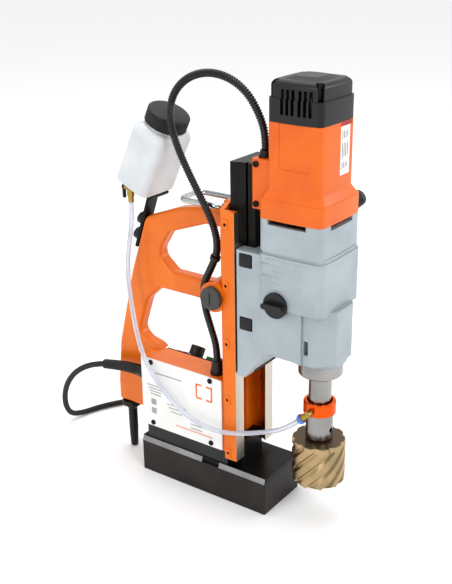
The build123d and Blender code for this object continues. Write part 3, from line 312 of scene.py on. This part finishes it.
NODE_FINISHES: dict[str, Finish] = {
    "magnet_shell": Finishes.MAGNET_STEEL,
    "magnet_coil": Finishes.COPPER,
    "magnet_potting": Finishes.RESIN,
    "base_plate": Finishes.BLACK_STEEL,
    "edge_strips": Finishes.ZINC,
    "riser_block": Finishes.DARK_SPACER,
    "rails": Finishes.RAIL,
    "gibs": Finishes.GIB,
    "stand_casting": Finishes.ORANGE_POWDER,
    "handle_frame": Finishes.ORANGE_POWDER,
    "side_panel": Finishes.WHITE_SHEET,
    "stand_screws": Finishes.BLACK_STEEL,
    "control_panel": Finishes.BLACK_ABS,
    "control_board": Finishes.BOARD,
    "support_foot": Finishes.RUBBER,
    "shaft_bushes": Finishes.BRASS,
    "cable_gland": Finishes.BLACK_ABS,
    "mains_plug": Finishes.BLACK_ABS,
    "conduit_boot": Finishes.BLACK_ABS,
    "coolant_bottle": Finishes.MILKY_PE,
    "bottle_bracket": Finishes.BLACK_STEEL,
    "coolant_tap": Finishes.BRASS,
    "speed_knob": Finishes.BLACK_ABS,
    "start_button": Finishes.GREEN_ACRYLIC,
    "stop_button": Finishes.RED_ACRYLIC,
    "magnet_switch": Finishes.RED_ACRYLIC,
    "tap_lever": Finishes.BLACK_ABS,
    "bottle_cap": Finishes.BLACK_ABS,
    "clamp_screw_upper": Finishes.BLACK_ABS,
    "clamp_screw_lower": Finishes.BLACK_ABS,
    "strap_ring": Finishes.CHROME,
    "feed_shaft": Finishes.GROUND_STEEL,
    "hub_cap": Finishes.HUB_GREY,
    "feed_hub": Finishes.CHROME,
    "feed_lever": Finishes.CHROME,
    "lever_grip": Finishes.BLACK_ABS,
    "slide_bar": Finishes.BLACK_STEEL,
    "feed_rack": Finishes.GROUND_STEEL,
    "gearcase": Finishes.GREY_CASTING,
    "gearcase_cover": Finishes.GREY_CASTING,
    "motor_housing": Finishes.ORANGE_ABS,
    "motor_cap": Finishes.BLACK_ABS,
    "carriage_screws": Finishes.BLACK_STEEL,
    "bearings": Finishes.GROUND_STEEL,
    "stator": Finishes.LAMINATION,
    "spindle_collar": Finishes.SATIN_STEEL,
    "coolant_ring": Finishes.ANODISED,
    "hose_elbow": Finishes.BRASS,
    "conduit_fitting": Finishes.BLACK_ABS,
    "armature": Finishes.LAMINATION,
    "layshaft": Finishes.GROUND_STEEL,
    "spindle": Finishes.SATIN_STEEL,
    "tool_holder": Finishes.SATIN_STEEL,
    "gear_selector": Finishes.BLACK_ABS,
}


# ------------------------------------------------------------------ mesh helpers
def dress(piece: bpy.types.Object, finish: Finish) -> None:
    """Gives a piece one finish all over."""
    piece.data.materials.clear()
    piece.data.materials.append(finish.build())


def settle(piece: bpy.types.Object, name: str, finish: Finish, body: str) -> bpy.types.Object:
    """Names a finished piece, puts its place in its mesh, and lets it ride on a body.

    Args:
        piece: the finished object.
        name: its name.
        finish: what it is made of.
        body: the CAD body that it moves with.

    Returns:
        The piece.
    """
    piece.name = name
    piece.data.transform(piece.matrix_world)
    piece.matrix_world = Matrix.Identity(4)
    dress(piece, finish)
    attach(piece, body)
    LOG.info("%s: %d faces on %s", name, len(piece.data.polygons) if piece.type == "MESH" else 0, body)
    return piece


def fresh() -> None:
    """Deselects everything before a new piece is started."""
    bpy.ops.object.select_all(action="DESELECT")


def smooth(piece: bpy.types.Object, degrees_limit: float = 35.0) -> None:
    """Shades a piece smooth below an angle between faces."""
    fresh()
    piece.select_set(True)
    bpy.context.view_layer.objects.active = piece
    bpy.ops.object.shade_smooth_by_angle(angle=radians(degrees_limit))


def turned(name: str, profile: list[tuple[float, float]], steps: int = 48) -> bpy.types.Object:
    """Spins a profile of radius and height, in mm, about Z into a closed solid.

    Args:
        name: the object's name.
        profile: radius and height pairs, from axis to axis.
        steps: how many faces go round.

    Returns:
        The object, with its axis on Z through the origin.
    """
    fresh()
    bpy.ops.mesh.primitive_plane_add(size=1, location=(0, 0, 0))
    piece = bpy.context.object
    mesh = bpy.data.meshes.new(name)
    mesh.from_pydata([(r * MM, 0, z * MM) for r, z in profile], [(i, i + 1) for i in range(len(profile) - 1)], [])
    piece.data = mesh
    bpy.ops.object.mode_set(mode="EDIT")
    bpy.ops.mesh.select_all(action="SELECT")
    bpy.ops.mesh.spin(steps=steps, angle=2 * pi, center=(0, 0, 0), axis=(0, 0, 1))
    bpy.ops.mesh.select_all(action="SELECT")
    bpy.ops.mesh.remove_doubles(threshold=1e-6)
    bpy.ops.mesh.normals_make_consistent(inside=False)
    bpy.ops.object.mode_set(mode="OBJECT")
    return piece


def bar(name: str, low_mm: Vector, high_mm: Vector, edge_mm: float) -> bpy.types.Object:
    """Builds a plain bar with softened edges between two corners.

    Args:
        name: the bar's name.
        low_mm: its low corner, in mm.
        high_mm: its high corner, in mm.
        edge_mm: the width of its bevelled edges.

    Returns:
        The bar.
    """
    fresh()
    bpy.ops.mesh.primitive_cube_add(size=1, location=(0, 0, 0))
    piece = bpy.context.object
    piece.name = name
    size = (high_mm - low_mm) * MM
    middle = (high_mm + low_mm) / 2 * MM
    piece.data.transform(Matrix.Translation(middle) @ Matrix.Diagonal((size.x, size.y, size.z, 1)))
    bpy.ops.object.mode_set(mode="EDIT")
    bpy.ops.mesh.select_all(action="SELECT")
    bpy.ops.mesh.bevel(offset=edge_mm * MM, segments=2, affect="EDGES")
    bpy.ops.object.mode_set(mode="OBJECT")
    smooth(piece, 40)
    return piece


def lay_along(piece: bpy.types.Object, start: Vector, direction: Vector) -> None:
    """Moves a turned piece so that its Z axis runs from start along direction."""
    turn = Vector((0, 0, 1)).rotation_difference(direction.normalized()).to_matrix().to_4x4()
    piece.data.transform(Matrix.Translation(start) @ turn)


def film(name: str, patches: list[tuple[Vector, Vector, Vector]], thickness_mm: float) -> bpy.types.Object:
    """Makes thin printed patches, each a rectangle pushed out by its thickness.

    Args:
        name: the object's name.
        patches: for each, its centre, its half width and its half height as vectors, in mm.
        thickness_mm: how far the print stands out, along half width x half height.

    Returns:
        One object with every patch in it.
    """
    made = []
    for centre, across, up in patches:
        fresh()
        bpy.ops.mesh.primitive_plane_add(size=2, location=(0, 0, 0))
        patch = bpy.context.object
        out = across.cross(up).normalized() * thickness_mm
        patch.data.transform(Matrix(((across.x, up.x, out.x, centre.x), (across.y, up.y, out.y, centre.y),
                                     (across.z, up.z, out.z, centre.z), (0, 0, 0, 1))))
        patch.data.transform(Matrix.Scale(MM, 4))
        bpy.ops.object.mode_set(mode="EDIT")
        bpy.ops.mesh.select_all(action="SELECT")
        bpy.ops.mesh.extrude_region_move(TRANSFORM_OT_translate={"value": out * MM})
        bpy.ops.mesh.select_all(action="SELECT")
        bpy.ops.mesh.normals_make_consistent(inside=False)
        bpy.ops.object.mode_set(mode="OBJECT")
        made.append(patch)
    fresh()
    for patch in made:
        patch.select_set(True)
    bpy.context.view_layer.objects.active = made[0]
    if len(made) > 1:
        bpy.ops.object.join()
    made[0].name = name
    return made[0]


# ------------------------------------------------------------------ cords
def nurbs_curve(name: str, route: list[Point]) -> bpy.types.Object:
    """Makes a smooth NURBS line with a route's points, in metres, as its control points."""
    data = bpy.data.curves.new(name, "CURVE")
    data.dimensions = "3D"
    spline = data.splines.new("NURBS")
    spline.points.add(len(route) - 1)
    for control, place in zip(spline.points, route):
        control.co = (*place, 1.0)
    spline.order_u = 3
    spline.use_endpoint_u = True
    data.resolution_u = 12
    piece = bpy.data.objects.new(name, data)
    bpy.context.scene.collection.objects.link(piece)
    return piece


def line_points(route: list[Point]) -> list[Vector]:
    """Reads the points of a route's NURBS line, in order."""
    guide = nurbs_curve("guide", route)
    mesh = bpy.data.meshes.new_from_object(guide)
    points = [v.co.copy() for v in mesh.vertices]
    bpy.data.objects.remove(guide)
    bpy.data.meshes.remove(mesh)
    return points


def spaced(points: list[Vector], step: float) -> list[Vector]:
    """Spreads points evenly along a line."""
    result = [points[0].copy()]
    left = step
    for a, b in zip(points, points[1:]):
        length = (b - a).length
        along = 0.0
        while length - along >= left:
            along += left
            result.append(a.lerp(b, along / length))
            left = step
        left -= length - along
    result.append(points[-1].copy())
    return result


def tube_mesh(name: str, points: list[Vector], radius_at, sides: int) -> bpy.types.Object:
    """Makes a closed tube round a line.

    Args:
        name: the object's name.
        points: the line, in metres.
        radius_at: the radius in metres at a point's number.
        sides: how many faces go round.

    Returns:
        The tube's object.
    """
    up = Vector((1, 0, 0))
    rings: list[list[Vector]] = []
    for index, place in enumerate(points):
        ahead = (points[min(index + 1, len(points) - 1)] - points[max(index - 1, 0)]).normalized()
        up = (up - ahead * up.dot(ahead)).normalized()
        side = ahead.cross(up)
        radius = radius_at(index)
        turns = [2 * pi * k / sides for k in range(sides)]
        rings.append([place + (up * cos(t) + side * sin(t)) * radius for t in turns])
    verts = [v for ring in rings for v in ring]
    faces = []
    for row in range(len(rings) - 1):
        for k in range(sides):
            nxt = (k + 1) % sides
            faces.append((row * sides + k, row * sides + nxt, (row + 1) * sides + nxt, (row + 1) * sides + k))
    faces.append(tuple(reversed(range(sides))))
    faces.append(tuple((len(rings) - 1) * sides + k for k in range(sides)))
    mesh = bpy.data.meshes.new(name)
    mesh.from_pydata(verts, [], faces)
    piece = bpy.data.objects.new(name, mesh)
    bpy.context.scene.collection.objects.link(piece)
    bpy.context.view_layer.objects.active = piece
    smooth(piece, 60)
    return piece


def metres(route: list[Point]) -> list[Point]:
    """Turns a route in mm into metres."""
    return [(x * MM, y * MM, z * MM) for x, y, z in route]


def line_length(points: list[Vector]) -> float:
    """Returns the length of a line of points."""
    return sum((b - a).length for a, b in zip(points, points[1:]))


@dataclass
class Conduit:
    """The corrugated conduit that carries the motor's wires from the control box."""

    diameter_mm: float = 9.5
    rib_pitch_mm: float = 3.2
    rib_depth_mm: float = 1.0
    clip_at_mm: float = 143.0
    route: list[Point] = field(default_factory=lambda: [
        (-22.0, -16.0, 189.0), (-22.0, -16.0, 207.0), (-23.5, -8.0, 233.0), (-25.0, 0.0, 261.0),
        (-25.5, 0.0, 289.0), (-25.0, -12.0, 312.0), (-25.0, -22.0, 334.0), (-28.0, -23.0, 357.0),
        (-30.0, -14.0, 382.0), (-30.0, 2.0, 407.0), (-29.0, 19.0, 433.0), (-28.0, 34.0, 460.0),
        (-28.0, 43.0, 489.0), (-27.0, 37.0, 517.0), (-26.0, 17.0, 537.0), (-24.0, -10.0, 546.0),
        (-22.0, -38.0, 543.0), (-20.0, -62.0, 529.0), (-19.0, -78.0, 506.0), (-18.0, -86.0, 484.0),
        (-18.0, -86.0, 466.0)])

    def build(self) -> None:
        """Builds the conduit and its clip."""
        line = line_points(metres(self.route))
        step = self.rib_pitch_mm * MM / 4
        points = spaced(line, step)
        big = self.diameter_mm / 2 * MM
        small = big - self.rib_depth_mm * MM
        radii = [big, big, small, small]
        tube = tube_mesh("conduit_tube", points, lambda i: radii[i % 4], 18)
        dress(tube, Finishes.CONDUIT_PA)
        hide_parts("conduit")
        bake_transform(tube)
        LOG.info("conduit: %.3f m", line_length(line))
        self.clip(points)

    def clip(self, points: list[Vector]) -> None:
        """Puts the plain clip band round the conduit."""
        at = min(range(len(points)), key=lambda i: abs(i * self.rib_pitch_mm / 4 - self.clip_at_mm))
        half = 2.6
        outer = self.diameter_mm / 2 + 1.6
        band = turned("conduit_clip", [(outer - 2.4, -half), (outer - 0.4, -half), (outer, -half + 0.4),
                                       (outer, half - 0.4), (outer - 0.4, half), (outer - 2.4, half),
                                       (outer - 2.4, -half)], 32)
        lay_along(band, points[at], points[at + 3] - points[at - 3])
        smooth(band)
        settle(band, "conduit_clip", Finishes.BLACK_ABS, "stand")


@dataclass
class CoolantHose:
    """The clear hose from the bottle's tap to the coolant ring."""

    diameter_mm: float = 6.0
    elbow_mm: Point = (-27.0, -153.5, 156.0)
    barb: Vector = field(default_factory=lambda: Vector((-0.18, 0.72, -0.67)).normalized())

    def route(self) -> list[Point]:
        """Returns the hose's route in mm."""
        end = Vector(self.elbow_mm) + self.barb * 13
        lead = Vector(self.elbow_mm) + self.barb * 33
        return [(-24.0, 112.0, 374.0), (-24.0, 112.0, 348.0), (-27.0, 117.0, 318.0), (-29.0, 120.0, 284.0),
                (-32.0, 115.0, 248.0), (-37.0, 105.0, 212.0), (-43.0, 91.0, 180.0), (-46.5, 70.0, 152.0),
                (-47.0, 43.0, 127.0), (-47.5, 12.0, 109.0), (-48.0, -22.0, 103.0), (-48.5, -56.0, 108.0),
                (-44.0, -87.0, 117.0), (-37.5, -111.0, 124.0), tuple(lead), tuple(end)]

    def build(self) -> None:
        """Builds the hose and the blue release collar at its end."""
        line = line_points(metres(self.route()))
        points = spaced(line, 0.002)
        tube = tube_mesh("coolant_hose_tube", points, lambda i: self.diameter_mm / 2 * MM, 16)
        dress(tube, Finishes.CLEAR_PVC)
        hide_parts("coolant_hose")
        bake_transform(tube)
        LOG.info("coolant hose: %.3f m", line_length(line))
        start = (Vector(self.elbow_mm) + self.barb * 9.5) * MM
        collar = turned("hose_collar", [(0, 0), (5.6, 0), (6.2, 0.6), (6.2, 3.0), (5.2, 3.6), (5.2, 5.0),
                                        (4.6, 5.6), (0, 5.6)], 32)
        lay_along(collar, start, self.barb)
        smooth(collar)
        settle(collar, "hose_collar", Finishes.BLUE_ACETAL, "carriage")


@dataclass
class MainsLead:
    """The mains lead, its strain relief, and the coil that it is put away in."""

    diameter_mm: float = 8.0
    coil_centre_mm: tuple[float, float] = (106.0, 78.0)
    coil_rows_mm: tuple[float, ...] = (53.2, 45.0, 36.8)
    layer_mm: float = 8.1
    layers: int = 3
    points_per_turn: int = 14
    gland_mm: Point = (-28.0, 98.0, 142.0)
    route: list[Point] = field(default_factory=lambda: [
        (-28.0, 170.0, 134.5), (-28.0, 192.0, 128.0), (-28.0, 214.0, 117.0), (-27.0, 235.0, 101.0),
        (-25.0, 252.0, 80.0), (-21.0, 264.0, 56.0), (-14.0, 271.0, 32.0), (-2.0, 274.0, 12.0),
        (20.0, 272.0, 4.3), (48.0, 263.0, 4.2), (78.0, 246.0, 4.3), (106.0, 223.0, 4.2),
        (131.0, 196.0, 4.3), (149.0, 165.0, 4.2), (158.0, 134.0, 4.3), (160.0, 103.0, 4.2)])

    def coil(self) -> list[Point]:
        """Returns the control points of the wound turns, in mm."""
        cx, cy = self.coil_centre_mm
        points: list[Point] = []
        rows = len(self.coil_rows_mm)
        total = rows * self.layers - 1
        count = total * self.points_per_turn
        outward = 1 / cos(pi / self.points_per_turn)
        for step in range(count):
            turn = step / self.points_per_turn
            whole = int(turn)
            part = min(1.0, max(0.0, (turn - whole) * 3 - 2))
            part = part * part * (3 - 2 * part)
            here = self.seat(whole)
            after = self.seat(min(whole + 1, total))
            radius = (here[0] + (after[0] - here[0]) * part) * outward
            height = here[1] + (after[1] - here[1]) * part
            angle = -2 * pi * turn
            points.append((cx + radius * cos(angle), cy + radius * sin(angle), height))
        return points

    def seat(self, turn: int) -> tuple[float, float]:
        """Returns the radius and height where a turn lies, in mm."""
        rows = len(self.coil_rows_mm)
        layer, row = divmod(turn, rows)
        order = self.coil_rows_mm if layer % 2 == 0 else self.coil_rows_mm[::-1]
        return order[row], 4.2 + self.layer_mm * layer

    def build(self) -> None:
        """Builds the lead with its coil and the strain relief."""
        route = metres(self.route + self.coil())
        lead = nurbs_curve("mains_lead", route)
        lead.data.bevel_depth = self.diameter_mm / 2 * MM
        lead.data.bevel_resolution = 4
        lead.data.use_fill_caps = True
        length = line_length(line_points(route))
        dress(lead, Finishes.RUBBER)
        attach(lead, "stand")
        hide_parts("mains_cord", "mains_coil")
        LOG.info("mains lead: %.3f m", length)
        self.strain_relief()

    def strain_relief(self) -> None:
        """Builds the ribbed sleeve between the gland and the lead."""
        x, y, z = self.gland_mm
        route = metres([(x, y + 11, z), (x, y + 30, z - 0.6), (x, y + 50, z - 3.5), (x, y + 73.5, z - 8.0)])
        points = spaced(line_points(route), 0.0008)
        last = len(points) - 1

        def radius_at(index: int) -> float:
            """Tapers the sleeve and cuts its grooves."""
            share = index / last
            plain = 7.4 - 0.9 * share
            groove = 1.1 if index % 6 in (4, 5) and 0.05 < share < 0.95 else 0.0
            return (plain - groove) * MM

        sleeve = tube_mesh("strain_relief_sleeve", points, radius_at, 24)
        settle(sleeve, "strain_relief_sleeve", Finishes.RUBBER, "stand")
        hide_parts("strain_relief")


# ------------------------------------------------------------------ hard pieces
@dataclass
class Cutter:
    """The annular cutter: a toothed cup with slanted flutes."""

    teeth: int = 10
    columns: int = 8
    radius_mm: float = 33.0
    flute_mm: float = 2.6
    wall_mm: float = 5.0
    height_mm: float = 57.0
    twist_deg: float = 88.0
    rows: int = 26

    def build(self) -> None:
        """Builds the cutter by stacking turned copies of its fluted outline."""
        low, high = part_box("annular_cutter")
        centre = (low + high) / 2
        fresh()
        bpy.ops.mesh.primitive_circle_add(vertices=self.teeth * self.columns, radius=self.radius_mm * MM,
                                          location=(0, 0, 0))
        cutter = bpy.context.object
        share = 1 - self.flute_mm / self.radius_mm
        depth = [1.0, 1.0, 1.0, 1.0, 0.995, share, share, (1 + share) / 2]
        for vertex in cutter.data.vertices:
            scale = depth[vertex.index % self.columns]
            vertex.co.x *= scale
            vertex.co.y *= scale
        bpy.ops.object.mode_set(mode="EDIT")
        bpy.ops.mesh.select_all(action="SELECT")
        body = self.height_mm - 6
        for _ in range(self.rows):
            bpy.ops.mesh.extrude_region_move(TRANSFORM_OT_translate={"value": (0, 0, body / self.rows * MM)})
            bpy.ops.transform.rotate(value=-radians(self.twist_deg / self.rows), orient_axis="Z",
                                     center_override=(0, 0, 0))
        for scale, rise in ((1.0, 3.0), (0.97, 3.0), (0.45, 0.0), (0.64, 0.0)):
            bpy.ops.mesh.extrude_region_move(TRANSFORM_OT_translate={"value": (0, 0, rise * MM)})
            bpy.ops.transform.resize(value=(scale, scale, 1), center_override=(0, 0, 0))
        bpy.ops.mesh.extrude_region_move(TRANSFORM_OT_translate={"value": (0, 0, 27 * MM)})
        bpy.ops.mesh.edge_face_add()
        bpy.ops.object.mode_set(mode="OBJECT")
        for vertex in cutter.data.vertices:
            vertex.select = vertex.index < self.teeth * self.columns
        bpy.ops.object.mode_set(mode="EDIT")
        inner = 1 - self.wall_mm / self.radius_mm
        bpy.ops.mesh.extrude_region_move(TRANSFORM_OT_translate={"value": (0, 0, 0)})
        bpy.ops.transform.resize(value=(inner, inner, 1), center_override=(0, 0, 0))
        bpy.ops.mesh.extrude_region_move(TRANSFORM_OT_translate={"value": (0, 0, (self.height_mm - 9) * MM)})
        bpy.ops.mesh.edge_face_add()
        bpy.ops.mesh.select_all(action="SELECT")
        bpy.ops.mesh.normals_make_consistent(inside=False)
        bpy.ops.object.mode_set(mode="OBJECT")
        self.cut_teeth(cutter)
        cutter.data.transform(Matrix.Translation(Vector((centre.x, centre.y, low.z))))
        smooth(cutter, 28)
        # Its finish paints the cutter's top above 112.4 mm dark brown as painted shade.
        settle(cutter, "fluted_cutter", Finishes.GOLD_COAT_SHADED_TOP, "spindle")
        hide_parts("annular_cutter")

    def cut_teeth(self, cutter: bpy.types.Object) -> None:
        """Raises the rim behind each tooth's point."""
        rise = [0.0, 0.7, 1.4, 2.1, 2.8, 4.2, 4.2, 2.0]
        for vertex in cutter.data.vertices:
            if vertex.co.z < 0.01 * MM:
                angle = atan2(vertex.co.y, vertex.co.x) / (2 * pi) * self.teeth * self.columns
                vertex.co.z += rise[round(angle) % self.columns] * MM


@dataclass
class BottleCap:
    """The bottle's black cap, with ribs to grip."""

    ribs: int = 48
    rib_mm: float = 0.8

    def build(self) -> None:
        """Builds the cap on the bottle's tilted axis."""
        tilt = radians(25.0)
        radius = 25.7
        cap = turned("ribbed_cap", [(0, 95.1), (24.4, 95.1), (24.4, 88.0), (radius, 88.0), (radius, 104.0),
                                    (radius - 1.2, 105.6), (radius - 3, 106.0), (0, 106.0)], self.ribs * 4)
        for vertex in cap.data.vertices:
            reach = sqrt(vertex.co.x ** 2 + vertex.co.y ** 2)
            if reach > (radius - 0.5) * MM and vertex.co.z < 104.5 * MM:
                step = round(atan2(vertex.co.y, vertex.co.x) / (2 * pi) * self.ribs * 4) % 4
                if step in (0, 1):
                    vertex.co.x *= 1 + self.rib_mm / radius
                    vertex.co.y *= 1 + self.rib_mm / radius
        cap.data.transform(Matrix.Translation((0, 0.109, 0.393)) @ Matrix.Rotation(tilt, 4, "X"))
        smooth(cap, 30)
        settle(cap, "ribbed_cap", Finishes.BLACK_ABS, "bottle_cap")
        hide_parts("bottle_cap")


@dataclass
class CaseDetails:
    """The gearcase's rubber pads and cast ledges."""

    pad_heights_mm: tuple[float, float] = (259.0, 338.5)
    pad_middle_mm: float = -73.7
    flange_mm: float = 41.0
    ledges_mm: tuple[tuple[float, float, float], ...] = (
        (314.0, -149.0, -118.0), (321.0, -152.0, -108.0), (328.0, -149.0, -98.0), (335.0, -153.0, -112.0),
        (342.0, -150.0, -96.0), (349.0, -152.0, -104.0))

    def build(self) -> None:
        """Builds four pads and a set of ledges on each side of the case."""
        flange = self.flange_mm
        for side in (-1, 1):
            name = "left" if side < 0 else "right"
            for number, height in enumerate(self.pad_heights_mm):
                low = Vector((side * (flange - 1.2) - 1.6, self.pad_middle_mm - 8.2, height - 7.6))
                high = Vector((side * (flange - 1.2) + 1.6, self.pad_middle_mm + 8.2, height + 7.6))
                pad = bar(f"pad_{name}_{number + 1}", low, high, 0.8)
                settle(pad, pad.name, Finishes.RUBBER, "carriage")
            for number, (height, front, rear) in enumerate(self.ledges_mm):
                low = Vector((side * 43.4 - 1.9, front, height - 0.7))
                high = Vector((side * 43.4 + 1.9, rear, height + 0.7))
                ledge = bar(f"ledge_{name}_{number + 1}", low, high, 0.5)
                settle(ledge, ledge.name, Finishes.GREY_CASTING, "carriage")


@dataclass
class Prints:
    """The generic print on the cover plate and the motor's label."""

    def build(self) -> None:
        """Builds both prints."""
        self.cover_plate()
        self.motor_label()

    def cover_plate(self) -> None:
        """Puts grey lines and an orange corner mark on the white cover."""
        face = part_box("side_panel")[0].x / MM
        across, up = Vector((0, -1, 0)), Vector((0, 0, 1))

        def patch(y: float, z: float, half_y: float, half_z: float) -> tuple[Vector, Vector, Vector]:
            """Returns one printed patch on the cover."""
            return Vector((face, y, z)), across * half_y, up * half_z

        lines = [patch(52, 152, 22, 0.8)]
        for row in range(4):
            lines.append(patch(76 - row * 0.6, 132 - row * 4.2, 12 - row, 0.7))
        for row in range(3):
            lines.append(patch(40, 112 - row * 5, 16 - row * 3, 0.6))
        lines += [patch(8, 100 - row * 6, 9, 0.7) for row in range(3)]
        lines += [patch(78, 108, 4.2, 4.2), patch(78, 95, 4.2, 4.2)]
        settle(film("cover_print", lines, 0.12), "cover_print", Finishes.GREY_INK, "stand")
        marks = []
        for side in (-1, 1):
            marks.append(patch(-6 + side * 12, 146, 1.2, 9))
            marks.append(patch(-6 + side * 8, 155, 4.5, 1.2))
            marks.append(patch(-6 + side * 8, 136, 4.5, 1.2))
        marks.append(patch(12, 84, 30, 0.6))
        settle(film("corner_mark", marks, 0.12), "corner_mark", Finishes.ORANGE_INK, "stand")

    def motor_label(self) -> None:
        """Puts the paper label on the motor's front."""
        across, up = Vector((1, 0, 0)), Vector((0, 0, 1))
        middle = Vector((12.5, -134.0 - 34.0 - 1.75, 471.0))
        label = film("motor_label", [(middle, across * 10, up * 27)], 0.25)
        settle(label, "motor_label", Finishes.LABEL, "carriage")
        lines = []
        for column in range(4):
            for row, half in enumerate((5.0, 8.5, 4.0)):
                place = Vector((-6.0 + column * 3.6, -0.25, 17.0 - row * 17.0 + column % 2))
                lines.append((middle + place, across * 0.55, up * (half - column * 0.6)))
        settle(film("label_lines", lines, 0.08), "label_lines", Finishes.BLACK_INK, "carriage")
        strip = film("motor_seam", [(middle + Vector((2, 0, 29.6)), across * 12.5, up * 2.0)], 0.3)
        settle(strip, "motor_seam", Finishes.RED_ACRYLIC, "carriage")


@dataclass
class Dressing:
    """The finishes of the CAD pieces that are shown as they are."""

    finishes: dict[str, Finish] = field(default_factory=lambda: dict(NODE_FINISHES))

    def build(self) -> None:
        """Dresses every CAD node that has a listed finish."""
        for name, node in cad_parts.items():
            finish = self.finishes.get(name)
            if finish is None:
                continue
            dress(node, finish)


# ------------------------------------------------------------------ studio
@dataclass
class Studio:
    """The floor, the lights and the camera."""

    eye_mm: Point = (-892.6, -670.7, 720.5)
    azimuth_deg: float = -56.02
    elevation_deg: float = 22.02
    focal_mm: float = 59.28
    shift_x: float = -0.0616

    def build(self) -> None:
        """Builds the floor, lights, world and camera."""
        self.floor()
        self.light("key_light", (-0.9, -2.1, 1.9), 17.0, 0.8)
        self.light("left_light", (-2.3, 0.3, 1.2), 10.0, 0.6)
        self.light("right_light", (1.7, -1.8, 1.1), 8.0, 0.5)
        self.light("top_light", (0.3, 0.4, 2.6), 14.0, 1.4)
        self.world()
        self.camera()

    def floor(self) -> None:
        """Adds the pale floor."""
        fresh()
        bpy.ops.mesh.primitive_plane_add(size=80, location=(0, 0, -0.0005))
        ground = bpy.context.object
        ground.name = "studio_floor"
        material = bpy.data.materials.new("studio_paper")
        material.use_nodes = True
        shader = material.node_tree.nodes["Principled BSDF"]
        shader.inputs["Base Color"].default_value = (0.92, 0.92, 0.92, 1)
        shader.inputs["Roughness"].default_value = 0.9
        shader.inputs["Specular IOR Level"].default_value = 0.1
        ground.data.materials.append(material)

    def light(self, name: str, place: Point, power: float, size: float) -> None:
        """Adds one soft light aimed at the machine.

        Args:
            name: the light's name.
            place: where it hangs, in metres.
            power: its power in watts.
            size: its width in metres.
        """
        data = bpy.data.lights.new(name, "AREA")
        data.energy = power
        data.size = size
        lamp = bpy.data.objects.new(name, data)
        lamp.location = place
        lamp.rotation_euler = (Vector((0, 0, 0.28)) - Vector(place)).to_track_quat("-Z", "Y").to_euler()
        bpy.context.scene.collection.objects.link(lamp)

    def world(self) -> None:
        """Sets the white surroundings, softly darker on the near side."""
        world = bpy.data.worlds.new("studio_world")
        world.use_nodes = True
        tree = world.node_tree
        back = tree.nodes["Background"]
        way = add_node(tree, "ShaderNodeTexCoord").outputs["Generated"]
        far = add_node(tree, "ShaderNodeVectorMath", {1: (0.55, 0.55, 0.63)}, {0: way}, operation="DOT_PRODUCT")
        glow = add_node(tree, "ShaderNodeMapRange", {1: -0.75, 2: 0.55, 3: 0.40, 4: 0.88},
                        {0: far.outputs["Value"]}, interpolation_type="SMOOTHSTEP")
        tree.links.new(glow.outputs[0], back.inputs["Strength"])
        back.inputs["Color"].default_value = (1, 1, 1, 1)
        bpy.context.scene.world = world
        bpy.context.scene.view_settings.view_transform = "Standard"
        bpy.context.scene.view_settings.look = "Medium High Contrast"
        bpy.context.scene.view_settings.exposure = 0.03

    def camera(self) -> None:
        """Adds the camera at its measured place."""
        data = bpy.data.cameras.new("camera")
        data.lens = self.focal_mm
        data.sensor_width = 36.0
        data.shift_x = self.shift_x
        data.clip_end = 20.0
        camera = bpy.data.objects.new("camera", data)
        a, e = radians(self.azimuth_deg), radians(self.elevation_deg)
        back = Vector((sin(a) * cos(e), -cos(a) * cos(e), sin(e)))
        right = Vector((0, 0, 1)).cross(back).normalized()
        up = back.cross(right)
        turn = Matrix((right, up, back)).transposed().to_4x4()
        camera.matrix_world = Matrix.Translation(Vector(self.eye_mm) * MM) @ turn
        bpy.context.scene.collection.objects.link(camera)
        bpy.context.scene.camera = camera


def main() -> None:
    """Builds every sub-assembly in order."""
    logging.basicConfig(level=logging.INFO, format="%(name)s %(message)s")
    for part in (Dressing(), Conduit(), CoolantHose(), MainsLead(), Cutter(), BottleCap(), CaseDetails(),
                 Prints(), Studio()):
        part.build()
        LOG.info("built %s", type(part).__name__)


if __name__ == "__main__":
    main()
